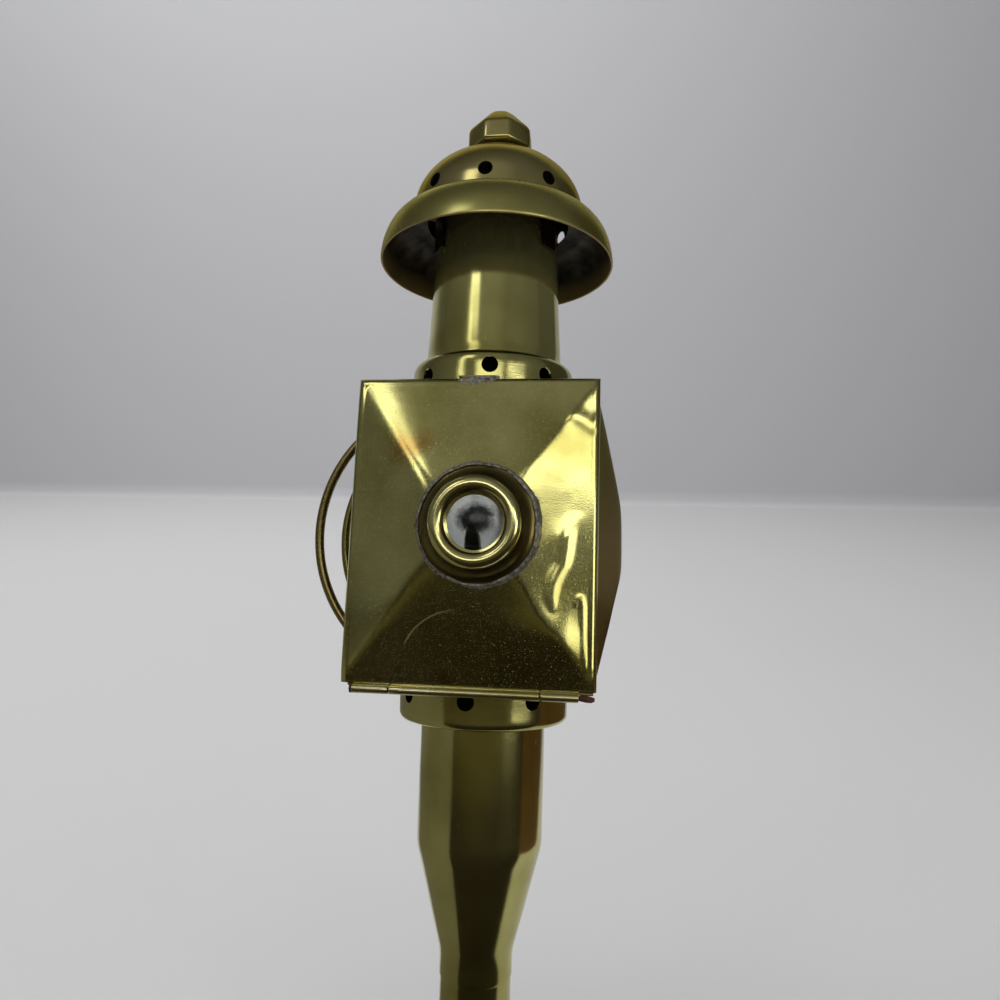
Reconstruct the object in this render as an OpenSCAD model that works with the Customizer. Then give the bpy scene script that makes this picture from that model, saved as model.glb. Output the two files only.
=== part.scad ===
// Carriage lantern: a brass candle lamp on a stem. A square case of soldered sheet carries a hinged
// back door with a bull's-eye lens, two guarded windows and one blind pressed side. A perforated
// gallery sits under and over the case, with a capped chimney above and the candle stem below.
// Units are millimetres and Z is the lamp's axis. The door faces -Y.
// Z = 0 is the shoulder of the stem, where the socket of a carriage bracket ends.

/* [Sheet and fits] */
// Thickness of the brass sheet
sheet = 0.8; // [0.6:0.1:1]
// Gap around the door and at other loose fits
fit_gap = 0.2; // [0.15:0.05:0.3]
// Radial clearance of a round piece that turns in another
run_gap = 0.08; // [0.04:0.02:0.1]
// Radial clearance filled by solder where one round piece sits in another
solder_gap = 0.05; // [0.02:0.01:0.1]

/* [Case] */
// Width of the square case over its walls
case_w = 80; // [76:1:96]
// Height of the case over its floor and roof
case_h = 102; // [96:1:124]
// Height of the pyramid pressed into the door and the blind side
press_rise = 10; // [6:0.5:12]
// Width of the flat on top of the pyramid
press_flat = 24; // [18:1:28]
// Flat margin left round the pyramid
press_margin = 2.5; // [2.5:0.5:5]
// Diameter of the air holes in the floor
floor_vent_d = 6; // [4:0.5:7]

/* [Door] */
// Depth of the folded edge round the door
door_lip = 2; // [1:0.25:2.25]
// Width of the spring catch on the door's top edge
catch_w = 13; // [8:1:18]
// Length of the catch over the roof
catch_len = 7; // [5:0.5:7.5]
// Diameter of the catch's dimple
catch_dimple_d = 3; // [2:0.5:4]
// Diameter of the hinge pin
hinge_pin_d = 1.5; // [1.2:0.1:2]
// Thickness of the rolled hinge knuckles
knuckle_wall = 0.6; // [0.5:0.1:0.8]
// Length of the door's own knuckle
hinge_door_len = 48.4; // [36:0.2:52]
// Length of each of the case's two knuckles
hinge_case_len = 12.2; // [8:0.2:13]
// Sideways place of the hinge's middle
hinge_shift = -1.2; // [-2:0.2:0]
// Length of the pin's tail past the knuckles
hinge_tail = 5; // [3:0.5:6]

/* [Lens] */
// Height of the lens above the door's middle
lens_up = 0.5; // [-2:0.5:3]
// Distance of the lens to the right of the door's middle
lens_side = 3.7; // [-4:0.1:4]
// Diameter of the collar's foot
collar_foot_d = 38.5; // [34:0.5:40]
// Diameter of the collar's neck
collar_neck_d = 27.2; // [26:0.2:29]
// Height of the collar
collar_h = 11; // [9:0.5:14]
// Thickness of the collar's wall
collar_wall = 0.9; // [0.7:0.1:1.2]
// Thickness of the rolled bezel
bezel_roll_d = 5; // [4:0.2:5.4]
// How far the bezel's roll is flattened where it sits on the collar
bezel_seat = 0.9; // [0.6:0.1:1.2]
// Thickness of the lens at its edge
lens_edge_t = 3; // [2:0.5:4]
// Height of the lens's crown above its edge
lens_crown = 3; // [2:0.25:4]
// Thickness of the split ring behind the lens
retainer_t = 1.4; // [1:0.1:2]
// Width of the solder run round the collar's foot
solder_w = 1.8; // [1:0.2:2.4]
// Height of the solder run above the foot
solder_h = 1.3; // [0.8:0.1:2]

/* [Windows] */
// Width of a window opening
window_w = 60; // [50:1:64]
// Height of a window opening
window_h = 80; // [70:1:84]
// Thickness of the glass
glass_t = 2; // [1.5:0.25:3]
// Lap of the glass behind the frame
glass_lap = 3; // [2:0.5:4]
// Length of a glass clip
clip_len = 10; // [6:1:14]
// Thickness of a glass clip
clip_t = 0.6; // [0.5:0.1:0.8]
// Lap of a clip over the glass
clip_lap = 3; // [2:0.5:4]
// Distance between the clips on one side of a pane
clip_pitch = 52; // [40:1:60]

/* [Guards] */
// Distance between the feet of a guard wire
guard_span = 83; // [82:0.5:90]
// Distance the middle of the wire stands out from the wall
guard_rise = 21.4; // [16:0.2:26]
// Diameter of the guard wire
guard_wire_d = 3.3; // [2.5:0.1:3.6]
// Distance between the two wires of a guard
guard_pitch = 30; // [20:1:36]

/* [Galleries] */
// Diameter of the galleries
gallery_d = 62; // [58:0.5:68]
// Height of a gallery
gallery_h = 15; // [13:0.5:18]
// Radius of a gallery's rounded corner
gallery_round = 4.5; // [2:0.5:4.5]
// Diameter of the gallery's vent holes
vent_d = 5.9; // [4:0.1:6]
// Number of vent holes in a ring
vent_count = 8; // [6:1:9]
// Height of the upper vents above the roof
upper_vent_up = 8; // [5:0.5:8]
// Depth of the lower vents below the floor
lower_vent_down = 5.2; // [4:0.2:8]
// Turn of the upper ring of vents
upper_vent_turn = 2; // [-10:1:10]
// Turn of the lower ring of vents
lower_vent_turn = -5; // [-10:1:10]

/* [Chimney and cap] */
// Diameter of the chimney at its foot
chimney_d = 52.8; // [50:0.2:53]
// Diameter of the chimney at its top
chimney_top_d = 46; // [42:0.5:48]
// Height of the chimney
chimney_h = 62; // [60:0.5:64]
// Diameter of the cap's rim
cap_d = 91.6; // [86:0.2:98]
// Height of the rim above the upper gallery
cap_rim_up = 42; // [40:0.5:44]
// Height of the cap's skirt
skirt_h = 17.5; // [16:0.5:20]
// Diameter of the cap's dome
dome_d = 67; // [62:0.5:67]
// Straight wall at the foot of the dome
dome_wall_h = 4; // [2:0.5:6]
// Height of the dome's curve
dome_rise = 24.5; // [22:0.5:28]
// Step between the dome's foot and the skirt
cap_step = 0.5; // [0.3:0.1:1]
// Width of the ledge inside the skirt's top
ledge_w = 5.5; // [5.4:0.1:6.5]
// Diameter of the dome's vent holes
dome_vent_d = 5.4; // [4:0.1:6]
// Height of the dome's vents above its foot
dome_vent_up = 5.6; // [5:0.1:7]
// Turn of the dome's ring of vents
dome_vent_turn = -3; // [-10:1:10]
// Width of a cap strap
strap_w = 8; // [6:0.5:10]
// Thickness of a cap strap
strap_t = 0.8; // [0.6:0.1:1]
// Length of a strap's leg down the chimney
strap_leg = 14; // [10:0.5:15]
// Diameter of the strap rivets
rivet_d = 2.2; // [1.8:0.1:2.4]
// Diameter of the rivet heads
rivet_head_d = 4; // [3.4:0.1:4]
// Height of the rivet heads
rivet_head_h = 0.9; // [0.6:0.1:1.2]

/* [Finial] */
// Width of the eight-sided knob over its corners
knob_d = 26.6; // [22:0.2:27]
// Height of the knob's upright faces
knob_h = 7.8; // [5:0.2:9]
// Height of the knob's sloping faces
knob_point_h = 7.8; // [5:0.2:9]
// Width of the knob's top over its corners
knob_top_d = 11.2; // [8:0.2:14]
// Height of the round tip
knob_tip_h = 1.6; // [1:0.1:2.4]
// Diameter of the finial's foot
finial_foot_d = 16; // [14:0.5:18]
// Diameter of the finial's neck
finial_neck_d = 11.6; // [10:0.2:13]
// Height of the finial's neck
finial_neck_h = 3; // [3:0.5:7]
// Diameter of the finial's stud
stud_d = 5; // [4:0.5:6]
// Width of the nut inside the dome, over its corners
nut_d = 9.2; // [8:0.2:11]
// Height of the nut
nut_h = 4; // [3:0.5:5]

/* [Stem] */
// Diameter of the straight stem, which fits a bracket's socket
stem_d = 25.4; // [24:0.1:26]
// Length of the straight stem below the shoulder
stem_len = 64; // [58:1:80]
// Thickness of the stem's wall
stem_wall = 1; // [0.9:0.1:1.2]
// Length of the stem inside the funnel's neck
stem_spigot = 8; // [5:0.5:10]
// Height of the funnel's cone above its neck
funnel_cone_h = 37; // [30:1:44]
// Diameter of the barrel above the cone
barrel_d = 45.6; // [42:0.2:48]
// Height of the barrel
barrel_h = 44; // [36:1:52]

/* [Candle] */
// Thickness of the candle tube's wall
tube_wall = 0.6; // [0.5:0.1:0.8]
// Gap round the candle and its follower
candle_gap = 0.35; // [0.3:0.05:0.5]
// Height of the nozzle's top above the case floor
nozzle_up = 25; // [20:1:30]
// Height of the nozzle's sleeve
nozzle_sleeve = 8; // [5:0.5:10]
// Diameter of the opening in the nozzle
nozzle_hole_d = 12; // [10:0.5:13]
// Length of the candle below its shoulder
candle_len = 138; // [130:1:142]
// Height of the candle's shoulder under the nozzle
candle_shoulder = 3.6; // [3:0.1:4.5]
// Height of the candle's tip above the nozzle
candle_tip_h = 5; // [4:0.5:8]
// Diameter of the wick
wick_d = 1.8; // [1.4:0.1:2.4]
// Height of the wick above the candle
wick_h = 7; // [4:0.5:10]
// Thickness of the follower under the candle
follower_t = 6; // [4:0.5:8]
// Diameter of the feed spring's wire
spring_wire_d = 1.6; // [1.2:0.1:1.8]
// Number of turns in the feed spring
spring_turns = 7; // [6:1:8]

/* [End cap] */
// Height of the end cap's grip
grip_h = 10; // [8:0.5:14]
// Number of grooves round the grip
grip_grooves = 24; // [16:1:30]
// Diameter of a groove in the grip
grip_groove_d = 1.6; // [1:0.1:2]
// Height of the plug inside the stem
plug_h = 9; // [8.5:0.5:12]
// Diameter of the bayonet pins
bayonet_d = 2.2; // [1.8:0.1:2.6]
// Height of the bayonet pins above the stem's lower edge
bayonet_up = 5; // [4:0.5:6]
// Turn that frees the end cap
bayonet_turn = 40; // [30:5:60]
// Turn of the locked bayonet pins about the stem
bayonet_rest = 60; // [30:5:90]

/* [Hidden] */
$fn = 96;

// Facets of small round pieces when drawn
small_fn = 32;

brass = "#a08a3c";
dark_brass = "#6f5f2c";
solder_grey = "#6e6d69";
clear_glass = [0.85, 0.9, 0.88, 0.4];
wax = "#e9e2cf";
soot = "#22201d";
steel = "#5b4a40";

// How far a cutting shape reaches past what it cuts
over = 1;

// Steps in a curved outline that is turned about the axis
curve_steps = 14;

// Turns of the four sides about Z: the door's side, the blind side, the front and the left
DOOR_SIDE = 0;
BLIND_SIDE = 90;
FRONT_SIDE = 180;
LEFT_SIDE = -90;

// Heights of the pieces on the axis, from the stem's shoulder upwards
barrel_z = stem_spigot + funnel_cone_h;
gallery_z = barrel_z + barrel_h;
floor_z = gallery_z + gallery_h;
floor_top_z = floor_z + sheet;
roof_z = floor_z + case_h;
roof_under_z = roof_z - sheet;
case_mid_z = (floor_z + roof_z) / 2;
wall_h = case_h - 2 * sheet;
chimney_z = roof_z + gallery_h;
rim_z = chimney_z + cap_rim_up;
dome_z = rim_z + skirt_h;
ledge_under_z = dome_z - sheet;

// Stem and candle radii, each piece inside the one before
stem_r = stem_d / 2;
stem_bore_r = stem_r - stem_wall;
spigot_r = stem_r - stem_wall / 2;
neck_bore_r = spigot_r + solder_gap;
tube_r = stem_bore_r - fit_gap;
tube_bore_r = tube_r - tube_wall;
candle_r = tube_bore_r - candle_gap;
barrel_r = barrel_d / 2;
barrel_bore_r = barrel_r - sheet;

// Levels along the candle, from the end cap upwards
stem_end_z = -stem_len;
plug_top_z = stem_end_z + plug_h;
tube_end_z = plug_top_z + fit_gap;
nozzle_z = floor_top_z + nozzle_up;
tube_top_z = nozzle_z - sheet - solder_gap;
candle_top_z = tube_top_z - candle_shoulder;
candle_end_z = candle_top_z - candle_len;
follower_end_z = candle_end_z - follower_t;
wick_z = nozzle_z + candle_tip_h;

// Chimney, galleries and cap
chimney_r = chimney_d / 2;
chimney_bore_r = chimney_r - sheet;
chimney_top_r = chimney_top_d / 2;
gallery_r = gallery_d / 2;
cap_r = cap_d / 2;
dome_r = dome_d / 2;
crease_r = dome_r + cap_step;
ledge_r = dome_r - ledge_w;
dome_flat_turn = acos(finial_foot_d / 2 / dome_r);
dome_top_z = dome_z + dome_wall_h + dome_rise * sin(dome_flat_turn);
strap_end_z = ledge_under_z - strap_leg;
strap_r = chimney_radius(strap_end_z) + solder_gap;
rivet_r = dome_r - sheet - fit_gap - rivet_head_d / 2;
rivet_hole_r = rivet_d / 2 + solder_gap;
strap_out_r = rivet_r + rivet_head_d / 2;

// Door, hinge and lens
wall_out = case_w / 2;
wall_in = wall_out - sheet;
door_in = wall_out + fit_gap;
door_w = 2 * (door_in + sheet);
knuckle_r = hinge_pin_d / 2 + run_gap + knuckle_wall;
hinge_y = -(door_in + knuckle_r);
hinge_z = floor_top_z - knuckle_r;
door_bottom_z = floor_top_z + fit_gap;
door_top_z = roof_z + fit_gap + sheet;
door_h = door_top_z - door_bottom_z;
door_mid_z = (door_bottom_z + door_top_z) / 2;
door_flat_out = sheet + press_rise;
foot_r = collar_foot_d / 2;
neck_r = collar_neck_d / 2;
neck_in_r = neck_r - collar_wall;
lens_r = neck_in_r - fit_gap;
bezel_roll_r = bezel_roll_d / 2;
bezel_seat_half = sqrt(pow(bezel_roll_r, 2) - pow(bezel_roll_r - bezel_seat, 2));
bezel_r = neck_r - bezel_seat_half;
crown_r = bezel_r - bezel_roll_r - fit_gap;
crown_sphere_r = (pow(crown_r, 2) + pow(lens_crown, 2)) / (2 * lens_crown);
lens_top_out = collar_h - solder_gap;
lens_back_out = lens_top_out - lens_edge_t;

// Windows and guards
glass_out = wall_in - solder_gap;
clip_back_out = glass_out - glass_t - solder_gap;
guard_r = (pow(guard_span / 2, 2) + pow(guard_rise, 2)) / (2 * guard_rise);

// Feed spring
spring_r = candle_r - spring_wire_d;
spring_seat_gap = 0.3;
spring_rings_per_turn = 8;
spring_sides = 6;
spring_low_z = plug_top_z + spring_seat_gap + spring_wire_d / 2;
spring_high_z = follower_end_z - spring_seat_gap - spring_wire_d / 2;

// Outer radius of the tapered chimney at a height
function chimney_radius(z) = chimney_r + (chimney_top_r - chimney_r) * (z - chimney_z) / chimney_h;

// Points of an elliptical arc about a centre, between two turns
function arc(centre, half_w, half_h, from, to) = [
    for (i = [0:curve_steps])
        let (turn = from + (to - from) * i / curve_steps)
        centre + [half_w * cos(turn), half_h * sin(turn)]
];

// Points of a list in the opposite order
function backwards(list) = [for (i = [len(list) - 1:-1:0]) list[i]];

// Places a shape drawn flat, with x across, y up from the case's middle and z outwards, on one side
module on_side(side, out = 0) {
    rotate([90, 0, side]) translate([0, case_mid_z, out]) children();
}

// Places a shape drawn flat on the inner face of the door, from the door's middle
module on_door(out = 0) {
    rotate([90, 0, DOOR_SIDE]) translate([0, door_mid_z, door_in + out]) children();
}

// Places a turned shape on the lens's axis, with z outwards from the pressed flat of the door
module on_lens_axis() {
    on_door(door_flat_out) translate([lens_side, lens_up, 0]) children();
}

// A plain tube along z
module tube(r, bore_r, h) {
    difference() {
        cylinder(r = r, h = h);
        translate([0, 0, -over]) cylinder(r = bore_r, h = h + 2 * over);
    }
}

// A rectangular pyramid with a flat top
module pyramid(w, h, rise) {
    points = [
        for (level = [[w, h, 0], [press_flat, press_flat, rise]])
            for (corner = [[-1, -1], [1, -1], [1, 1], [-1, 1]])
                [corner[0] * level[0] / 2, corner[1] * level[1] / 2, level[2]]
    ];
    sides = [for (i = [0:3]) [i, i + 4, (i + 1) % 4 + 4, (i + 1) % 4]];
    polyhedron(points, concat([[0, 1, 2, 3], [7, 6, 5, 4]], sides));
}

// The pyramid's hollow, carried down past the plate so that it cuts clean through
module pyramid_hollow(w, h) {
    spread = over / press_rise;
    translate([0, 0, -over])
        pyramid(w + (w - press_flat) * spread, h + (h - press_flat) * spread, press_rise + over);
}

// A sheet with a hollow pyramid pressed out of it, its inner face on z = 0
module pressed_sheet(w, h) {
    base_w = w - 2 * press_margin;
    base_h = h - 2 * press_margin;
    difference() {
        union() {
            translate([-w / 2, -h / 2, 0]) cube([w, h, sheet]);
            translate([0, 0, sheet]) pyramid(base_w, base_h, press_rise);
        }
        pyramid_hollow(base_w, base_h);
    }
}

// Outline of half a cup, open at y = 0 and rounded at its closed end
module cup_outline(r, h, round_r) {
    square([r, h - round_r]);
    square([r - round_r, h]);
    translate([r - round_r, h - round_r]) circle(r = round_r);
}

// A perforated cup that stands mouth down on z = 0, with a hole in its closed end
module gallery(hole_r, vent_up, vent_turn) {
    difference() {
        rotate_extrude() difference() {
            intersection() {
                cup_outline(gallery_r, gallery_h, gallery_round);
                square([gallery_r, gallery_h]);
            }
            cup_outline(gallery_r - sheet, gallery_h - sheet, gallery_round - sheet);
        }
        translate([0, 0, gallery_h - sheet - over]) cylinder(r = hole_r, h = sheet + 2 * over);
        vents(gallery_r, vent_d, vent_up, vent_turn);
    }
}

// A ring of radial holes through a wall of radius r
module vents(r, d, up, turn) {
    for (i = [0:vent_count - 1])
        rotate([90, 0, turn + i * 360 / vent_count])
            translate([0, up, r / 2]) cylinder(d = d, h = r);
}

module stem_tube() {
    slot_half = bayonet_d / 2 + fit_gap;
    slot_z = stem_end_z + bayonet_up;
    slot_lead = asin(slot_half / (stem_r - stem_wall / 2));
    color(brass) difference() {
        rotate_extrude() polygon([
            [stem_bore_r, stem_end_z], [stem_r, stem_end_z], [stem_r, 0], [spigot_r, 0],
            [spigot_r, stem_spigot], [stem_bore_r, stem_spigot]
        ]);
        for (side = [0, 180]) rotate(bayonet_rest + side) {
            rotate(bayonet_turn) translate([0, -slot_half, stem_end_z - over])
                cube([stem_r + over, 2 * slot_half, bayonet_up + over]);
            rotate(-slot_lead) rotate_extrude(angle = bayonet_turn + 2 * slot_lead)
                translate([stem_bore_r - over, slot_z - slot_half])
                    square([stem_wall + 2 * over, 2 * slot_half]);
        }
    }
}

module stem_funnel() {
    neck_out_r = neck_bore_r + sheet;
    color(brass) rotate_extrude() polygon([
        [neck_out_r, 0], [neck_out_r, stem_spigot], [barrel_r, barrel_z], [barrel_r, gallery_z],
        [barrel_bore_r, gallery_z], [barrel_bore_r, barrel_z], [neck_bore_r, stem_spigot],
        [neck_bore_r, 0]
    ]);
}

module end_cap() {
    grip_r = stem_r - fit_gap;
    plug_r = stem_bore_r - run_gap;
    color(brass) {
        difference() {
            translate([0, 0, stem_end_z - fit_gap - grip_h]) cylinder(r = grip_r, h = grip_h);
            for (i = [0:grip_grooves - 1]) rotate(i * 360 / grip_grooves)
                translate([grip_r + grip_groove_d / 4, 0, stem_end_z - fit_gap - grip_h - over])
                    cylinder(d = grip_groove_d, h = grip_h + over - grip_groove_d, $fn = small_fn);
        }
        translate([0, 0, stem_end_z - fit_gap]) cylinder(r = plug_r, h = plug_h + fit_gap);
        for (side = [0, 180]) rotate([0, 90, bayonet_rest + side])
            translate([-stem_end_z - bayonet_up, 0, 0]) cylinder(d = bayonet_d, h = stem_r - fit_gap);
    }
}

module candle_tube() {
    color(brass) translate([0, 0, tube_end_z]) tube(tube_r, tube_bore_r, tube_top_z - tube_end_z);
}

module nozzle_cap() {
    sleeve_r = tube_r + solder_gap + sheet;
    color(brass) translate([0, 0, nozzle_z]) rotate_extrude() polygon([
        [nozzle_hole_d / 2, 0], [sleeve_r, 0], [sleeve_r, -nozzle_sleeve],
        [tube_r + solder_gap, -nozzle_sleeve], [tube_r + solder_gap, -sheet], [nozzle_hole_d / 2, -sheet]
    ]);
}

module candle() {
    throat_r = nozzle_hole_d / 2 - candle_gap;
    color(wax) rotate_extrude() polygon([
        [0, candle_end_z], [candle_r, candle_end_z], [candle_r, candle_top_z],
        [throat_r, tube_top_z - candle_gap], [throat_r, nozzle_z], [wick_d, wick_z], [0, wick_z]
    ]);
}

module wick() {
    color(soot) translate([0, 0, wick_z]) cylinder(d = wick_d, h = wick_h);
}

module follower() {
    rim_h = follower_t / 2;
    color(dark_brass) translate([0, 0, follower_end_z]) {
        cylinder(r = candle_r, h = rim_h);
        translate([0, 0, rim_h]) cylinder(r = candle_r - fit_gap, h = follower_t - rim_h);
    }
}

// Middle of the spring's wire at each ring
function spring_path() = [
    for (i = [0:spring_turns * spring_rings_per_turn])
        let (share = i / (spring_turns * spring_rings_per_turn), turn = share * spring_turns * 360)
        [spring_r * cos(turn), spring_r * sin(turn),
         spring_low_z + (spring_high_z - spring_low_z) * share]
];

// Least clear distance between the wire and its own neighbouring turns
function spring_gap(path) = min([
    for (i = [0:len(path) - 1]) for (j = [i + spring_rings_per_turn / 2:len(path) - 1])
        norm(path[i] - path[j])
]) - spring_wire_d;

module feed_spring() {
    path = spring_path();
    wire_r = spring_wire_d / 2;
    points = [
        for (p = path) let (out = [p[0], p[1], 0] / spring_r)
            for (s = [0:spring_sides - 1]) let (turn = s * 360 / spring_sides)
                p + wire_r * (cos(turn) * out + sin(turn) * [0, 0, 1])
    ];
    last = len(path) - 1;
    tip = last * spring_sides;
    walls = [
        for (i = [0:last - 1]) for (s = [0:spring_sides - 1])
            let (a = i * spring_sides + s, b = i * spring_sides + (s + 1) % spring_sides)
            each [[a, a + spring_sides, b], [b, a + spring_sides, b + spring_sides]]
    ];
    ends = [
        for (s = [1:spring_sides - 2])
            each [[0, s, s + 1], [tip, tip + s + 1, tip + s]]
    ];
    echo(feed_spring_least_gap = spring_gap(path));
    color(steel) polyhedron(points, concat(walls, ends));
}

module lower_gallery() {
    color(brass) translate([0, 0, floor_z]) mirror([0, 0, 1])
        gallery(barrel_bore_r, lower_vent_down, lower_vent_turn);
}

module upper_gallery() {
    color(brass) translate([0, 0, roof_z]) gallery(chimney_bore_r, upper_vent_up, upper_vent_turn);
}

module case_floor() {
    vent_ring_r = (tube_r + gallery_r - sheet) / 2;
    color(brass) translate([0, 0, floor_z]) difference() {
        translate([-wall_out, -wall_out, 0]) cube([case_w, case_w, sheet]);
        translate([0, 0, -over]) cylinder(r = tube_r + solder_gap, h = sheet + 2 * over);
        for (i = [0:vent_count - 1]) rotate((i + 0.5) * 360 / vent_count)
            translate([vent_ring_r, 0, -over]) cylinder(d = floor_vent_d, h = sheet + 2 * over);
    }
}

module case_roof() {
    color(brass) translate([0, 0, roof_under_z]) difference() {
        translate([-wall_out, -wall_out, 0]) cube([case_w, case_w, sheet]);
        translate([0, 0, -over]) cylinder(r = chimney_bore_r, h = sheet + 2 * over);
    }
}

// A flat wall with a window in it, its inner face on z = 0
module window_frame(w) {
    linear_extrude(sheet) difference() {
        square([w, wall_h], center = true);
        square([window_w, window_h], center = true);
    }
}

module left_frame() {
    color(brass) on_side(LEFT_SIDE, wall_in) window_frame(case_w);
}

module front_frame() {
    color(brass) on_side(FRONT_SIDE, wall_in) window_frame(case_w - 2 * sheet);
}

module blind_side() {
    color(brass) on_side(BLIND_SIDE, wall_in) pressed_sheet(case_w, wall_h);
}

// A pane of glass behind a window
module glass(side) {
    pane_w = window_w + 2 * glass_lap;
    pane_h = window_h + 2 * glass_lap;
    color(clear_glass) on_side(side, glass_out - glass_t)
        translate([-pane_w / 2, -pane_h / 2, 0]) cube([pane_w, pane_h, glass_t]);
}

module left_glass() {
    glass(LEFT_SIDE);
}

module front_glass() {
    glass(FRONT_SIDE);
}

// Four bent clips that hold a pane to its frame
module glass_clips(side) {
    edge = window_w / 2 + glass_lap + fit_gap;
    leg_h = wall_in - clip_back_out + clip_t;
    color(dark_brass) on_side(side)
        for (hand = [-1, 1]) for (end = [-1, 1])
            translate([0, end * clip_pitch / 2 - clip_len / 2, clip_back_out - clip_t])
                mirror([hand < 0 ? 1 : 0, 0, 0]) {
                    translate([edge, 0, 0]) cube([clip_t, clip_len, leg_h]);
                    translate([edge - fit_gap - clip_lap, 0, 0])
                        cube([clip_lap + fit_gap + clip_t, clip_len, clip_t]);
                }
}

module left_glass_clips() {
    glass_clips(LEFT_SIDE);
}

module front_glass_clips() {
    glass_clips(FRONT_SIDE);
}

// Two bowed wires over a window, cut flush with the wall they are soldered to
module guard(side) {
    color(brass) on_side(side) intersection() {
        for (hand = [-1, 1])
            translate([hand * guard_pitch / 2, 0, wall_out + guard_rise - guard_r]) rotate([0, 90, 0])
                rotate_extrude() translate([guard_r, 0]) circle(d = guard_wire_d, $fn = small_fn);
        translate([-case_w / 2, -case_h / 2, wall_out]) cube([case_w, case_h, guard_rise + guard_wire_d]);
    }
}

module left_guard() {
    guard(LEFT_SIDE);
}

module front_guard() {
    guard(FRONT_SIDE);
}

// A rolled knuckle on the hinge's axis, without its bore
module knuckle_roll(from_x, length) {
    translate([from_x, hinge_y, hinge_z]) rotate([0, 90, 0])
        cylinder(r = knuckle_r, h = length, $fn = small_fn);
}

module knuckle_bore() {
    translate([-wall_out, hinge_y, hinge_z]) rotate([0, 90, 0])
        cylinder(r = hinge_pin_d / 2 + run_gap, h = case_w, $fn = small_fn);
}

module hinge_knuckles() {
    inner = hinge_door_len / 2 + fit_gap;
    color(brass) difference() {
        for (from_x = [hinge_shift - inner - hinge_case_len, hinge_shift + inner]) {
            knuckle_roll(from_x, hinge_case_len);
            translate([from_x, hinge_y, floor_z]) cube([hinge_case_len, -wall_out - hinge_y, sheet]);
        }
        knuckle_bore();
    }
}

module hinge_pin() {
    reach = hinge_door_len / 2 + fit_gap + hinge_case_len;
    head_h = hinge_pin_d / 2;
    head_x = hinge_shift - reach - head_h;
    color(steel) translate([head_x, hinge_y, hinge_z]) rotate([0, 90, 0]) {
        cylinder(r = knuckle_r, h = head_h, $fn = small_fn);
        cylinder(d = hinge_pin_d, h = head_h + 2 * reach + hinge_tail, $fn = small_fn);
    }
}

module door_panel() {
    from_x = hinge_shift - hinge_door_len / 2;
    color(brass) difference() {
        union() {
            on_door() {
                pressed_sheet(door_w, door_h);
                for (hand = [0, 1]) mirror([hand, 0, 0])
                    translate([door_in, -door_h / 2, -door_lip]) cube([sheet, door_h, door_lip + sheet]);
                translate([-door_w / 2, door_h / 2 - sheet, -door_lip])
                    cube([door_w, sheet, door_lip + sheet]);
            }
            knuckle_roll(from_x, hinge_door_len);
            translate([from_x, -door_in - sheet, hinge_z])
                cube([hinge_door_len, sheet, door_bottom_z - hinge_z + sheet]);
        }
        on_lens_axis() translate([0, 0, -press_rise]) cylinder(r = neck_in_r, h = press_rise + over);
        knuckle_bore();
    }
}

module door_catch() {
    tip = catch_len + sheet;
    color(brass) difference() {
        translate([-catch_w / 2, -door_in - sheet, door_top_z]) {
            cube([catch_w, tip, sheet]);
            translate([catch_w / 2, tip - catch_dimple_d, -sheet])
                cylinder(d = catch_dimple_d, h = sheet, $fn = small_fn);
        }
        translate([0, 0, roof_z]) cylinder(r = gallery_r + fit_gap, h = gallery_h);
    }
}

// Outline of the collar's flare, hollow curve outwards, from the foot up to the neck
function flare(wide, narrow, height) = arc([wide, height], wide - narrow, height, 270, 180);

module lens_collar() {
    outside = flare(foot_r, neck_r, collar_h);
    inside = flare(foot_r - collar_wall, neck_in_r, collar_h);
    color(brass) on_lens_axis() rotate_extrude() polygon(concat(outside, backwards(inside)));
}

module collar_solder() {
    depth = press_rise / 2;
    run_r = foot_r + solder_w;
    color(solder_grey) difference() {
        on_lens_axis() rotate_extrude() polygon([
            [neck_r, 0], [foot_r, 0], [foot_r, solder_h / 2], [foot_r + solder_w / 3, solder_h],
            [run_r, 0], [run_r, -depth], [neck_r, -depth]
        ]);
        on_door(sheet) pyramid(door_w - 2 * press_margin, door_h - 2 * press_margin, press_rise);
        lens_collar();
    }
}

module lens_bezel() {
    color(brass) on_lens_axis() rotate_extrude() intersection() {
        translate([bezel_r, collar_h + bezel_roll_r - bezel_seat]) circle(r = bezel_roll_r, $fn = small_fn);
        translate([0, collar_h]) square([bezel_r + bezel_roll_d, bezel_roll_d]);
    }
}

module bullseye_lens() {
    color(clear_glass) on_lens_axis() {
        translate([0, 0, lens_back_out]) cylinder(r = lens_r, h = lens_edge_t);
        intersection() {
            translate([0, 0, lens_top_out + lens_crown - crown_sphere_r]) sphere(r = crown_sphere_r);
            translate([0, 0, lens_top_out - lens_edge_t / 2])
                cylinder(r = crown_r, h = lens_crown + lens_edge_t);
        }
    }
}

module lens_retainer() {
    split_w = 3 * retainer_t;
    color(dark_brass) on_lens_axis() difference() {
        translate([0, 0, lens_back_out - solder_gap - retainer_t])
            tube(lens_r, crown_r + fit_gap, retainer_t);
        translate([0, -split_w / 2, lens_back_out - 2 * retainer_t - over])
            cube([lens_r + over, split_w, 2 * retainer_t + over]);
    }
}

module chimney() {
    color(brass) rotate_extrude() polygon([
        [chimney_r, chimney_z], [chimney_top_r, chimney_z + chimney_h],
        [chimney_top_r - sheet, chimney_z + chimney_h], [chimney_bore_r, chimney_z]
    ]);
}

// Repeats a shape at the three straps, with x outwards from the axis
module at_straps() {
    for (i = [0:2]) rotate(90 + i * 120) children();
}

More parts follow.
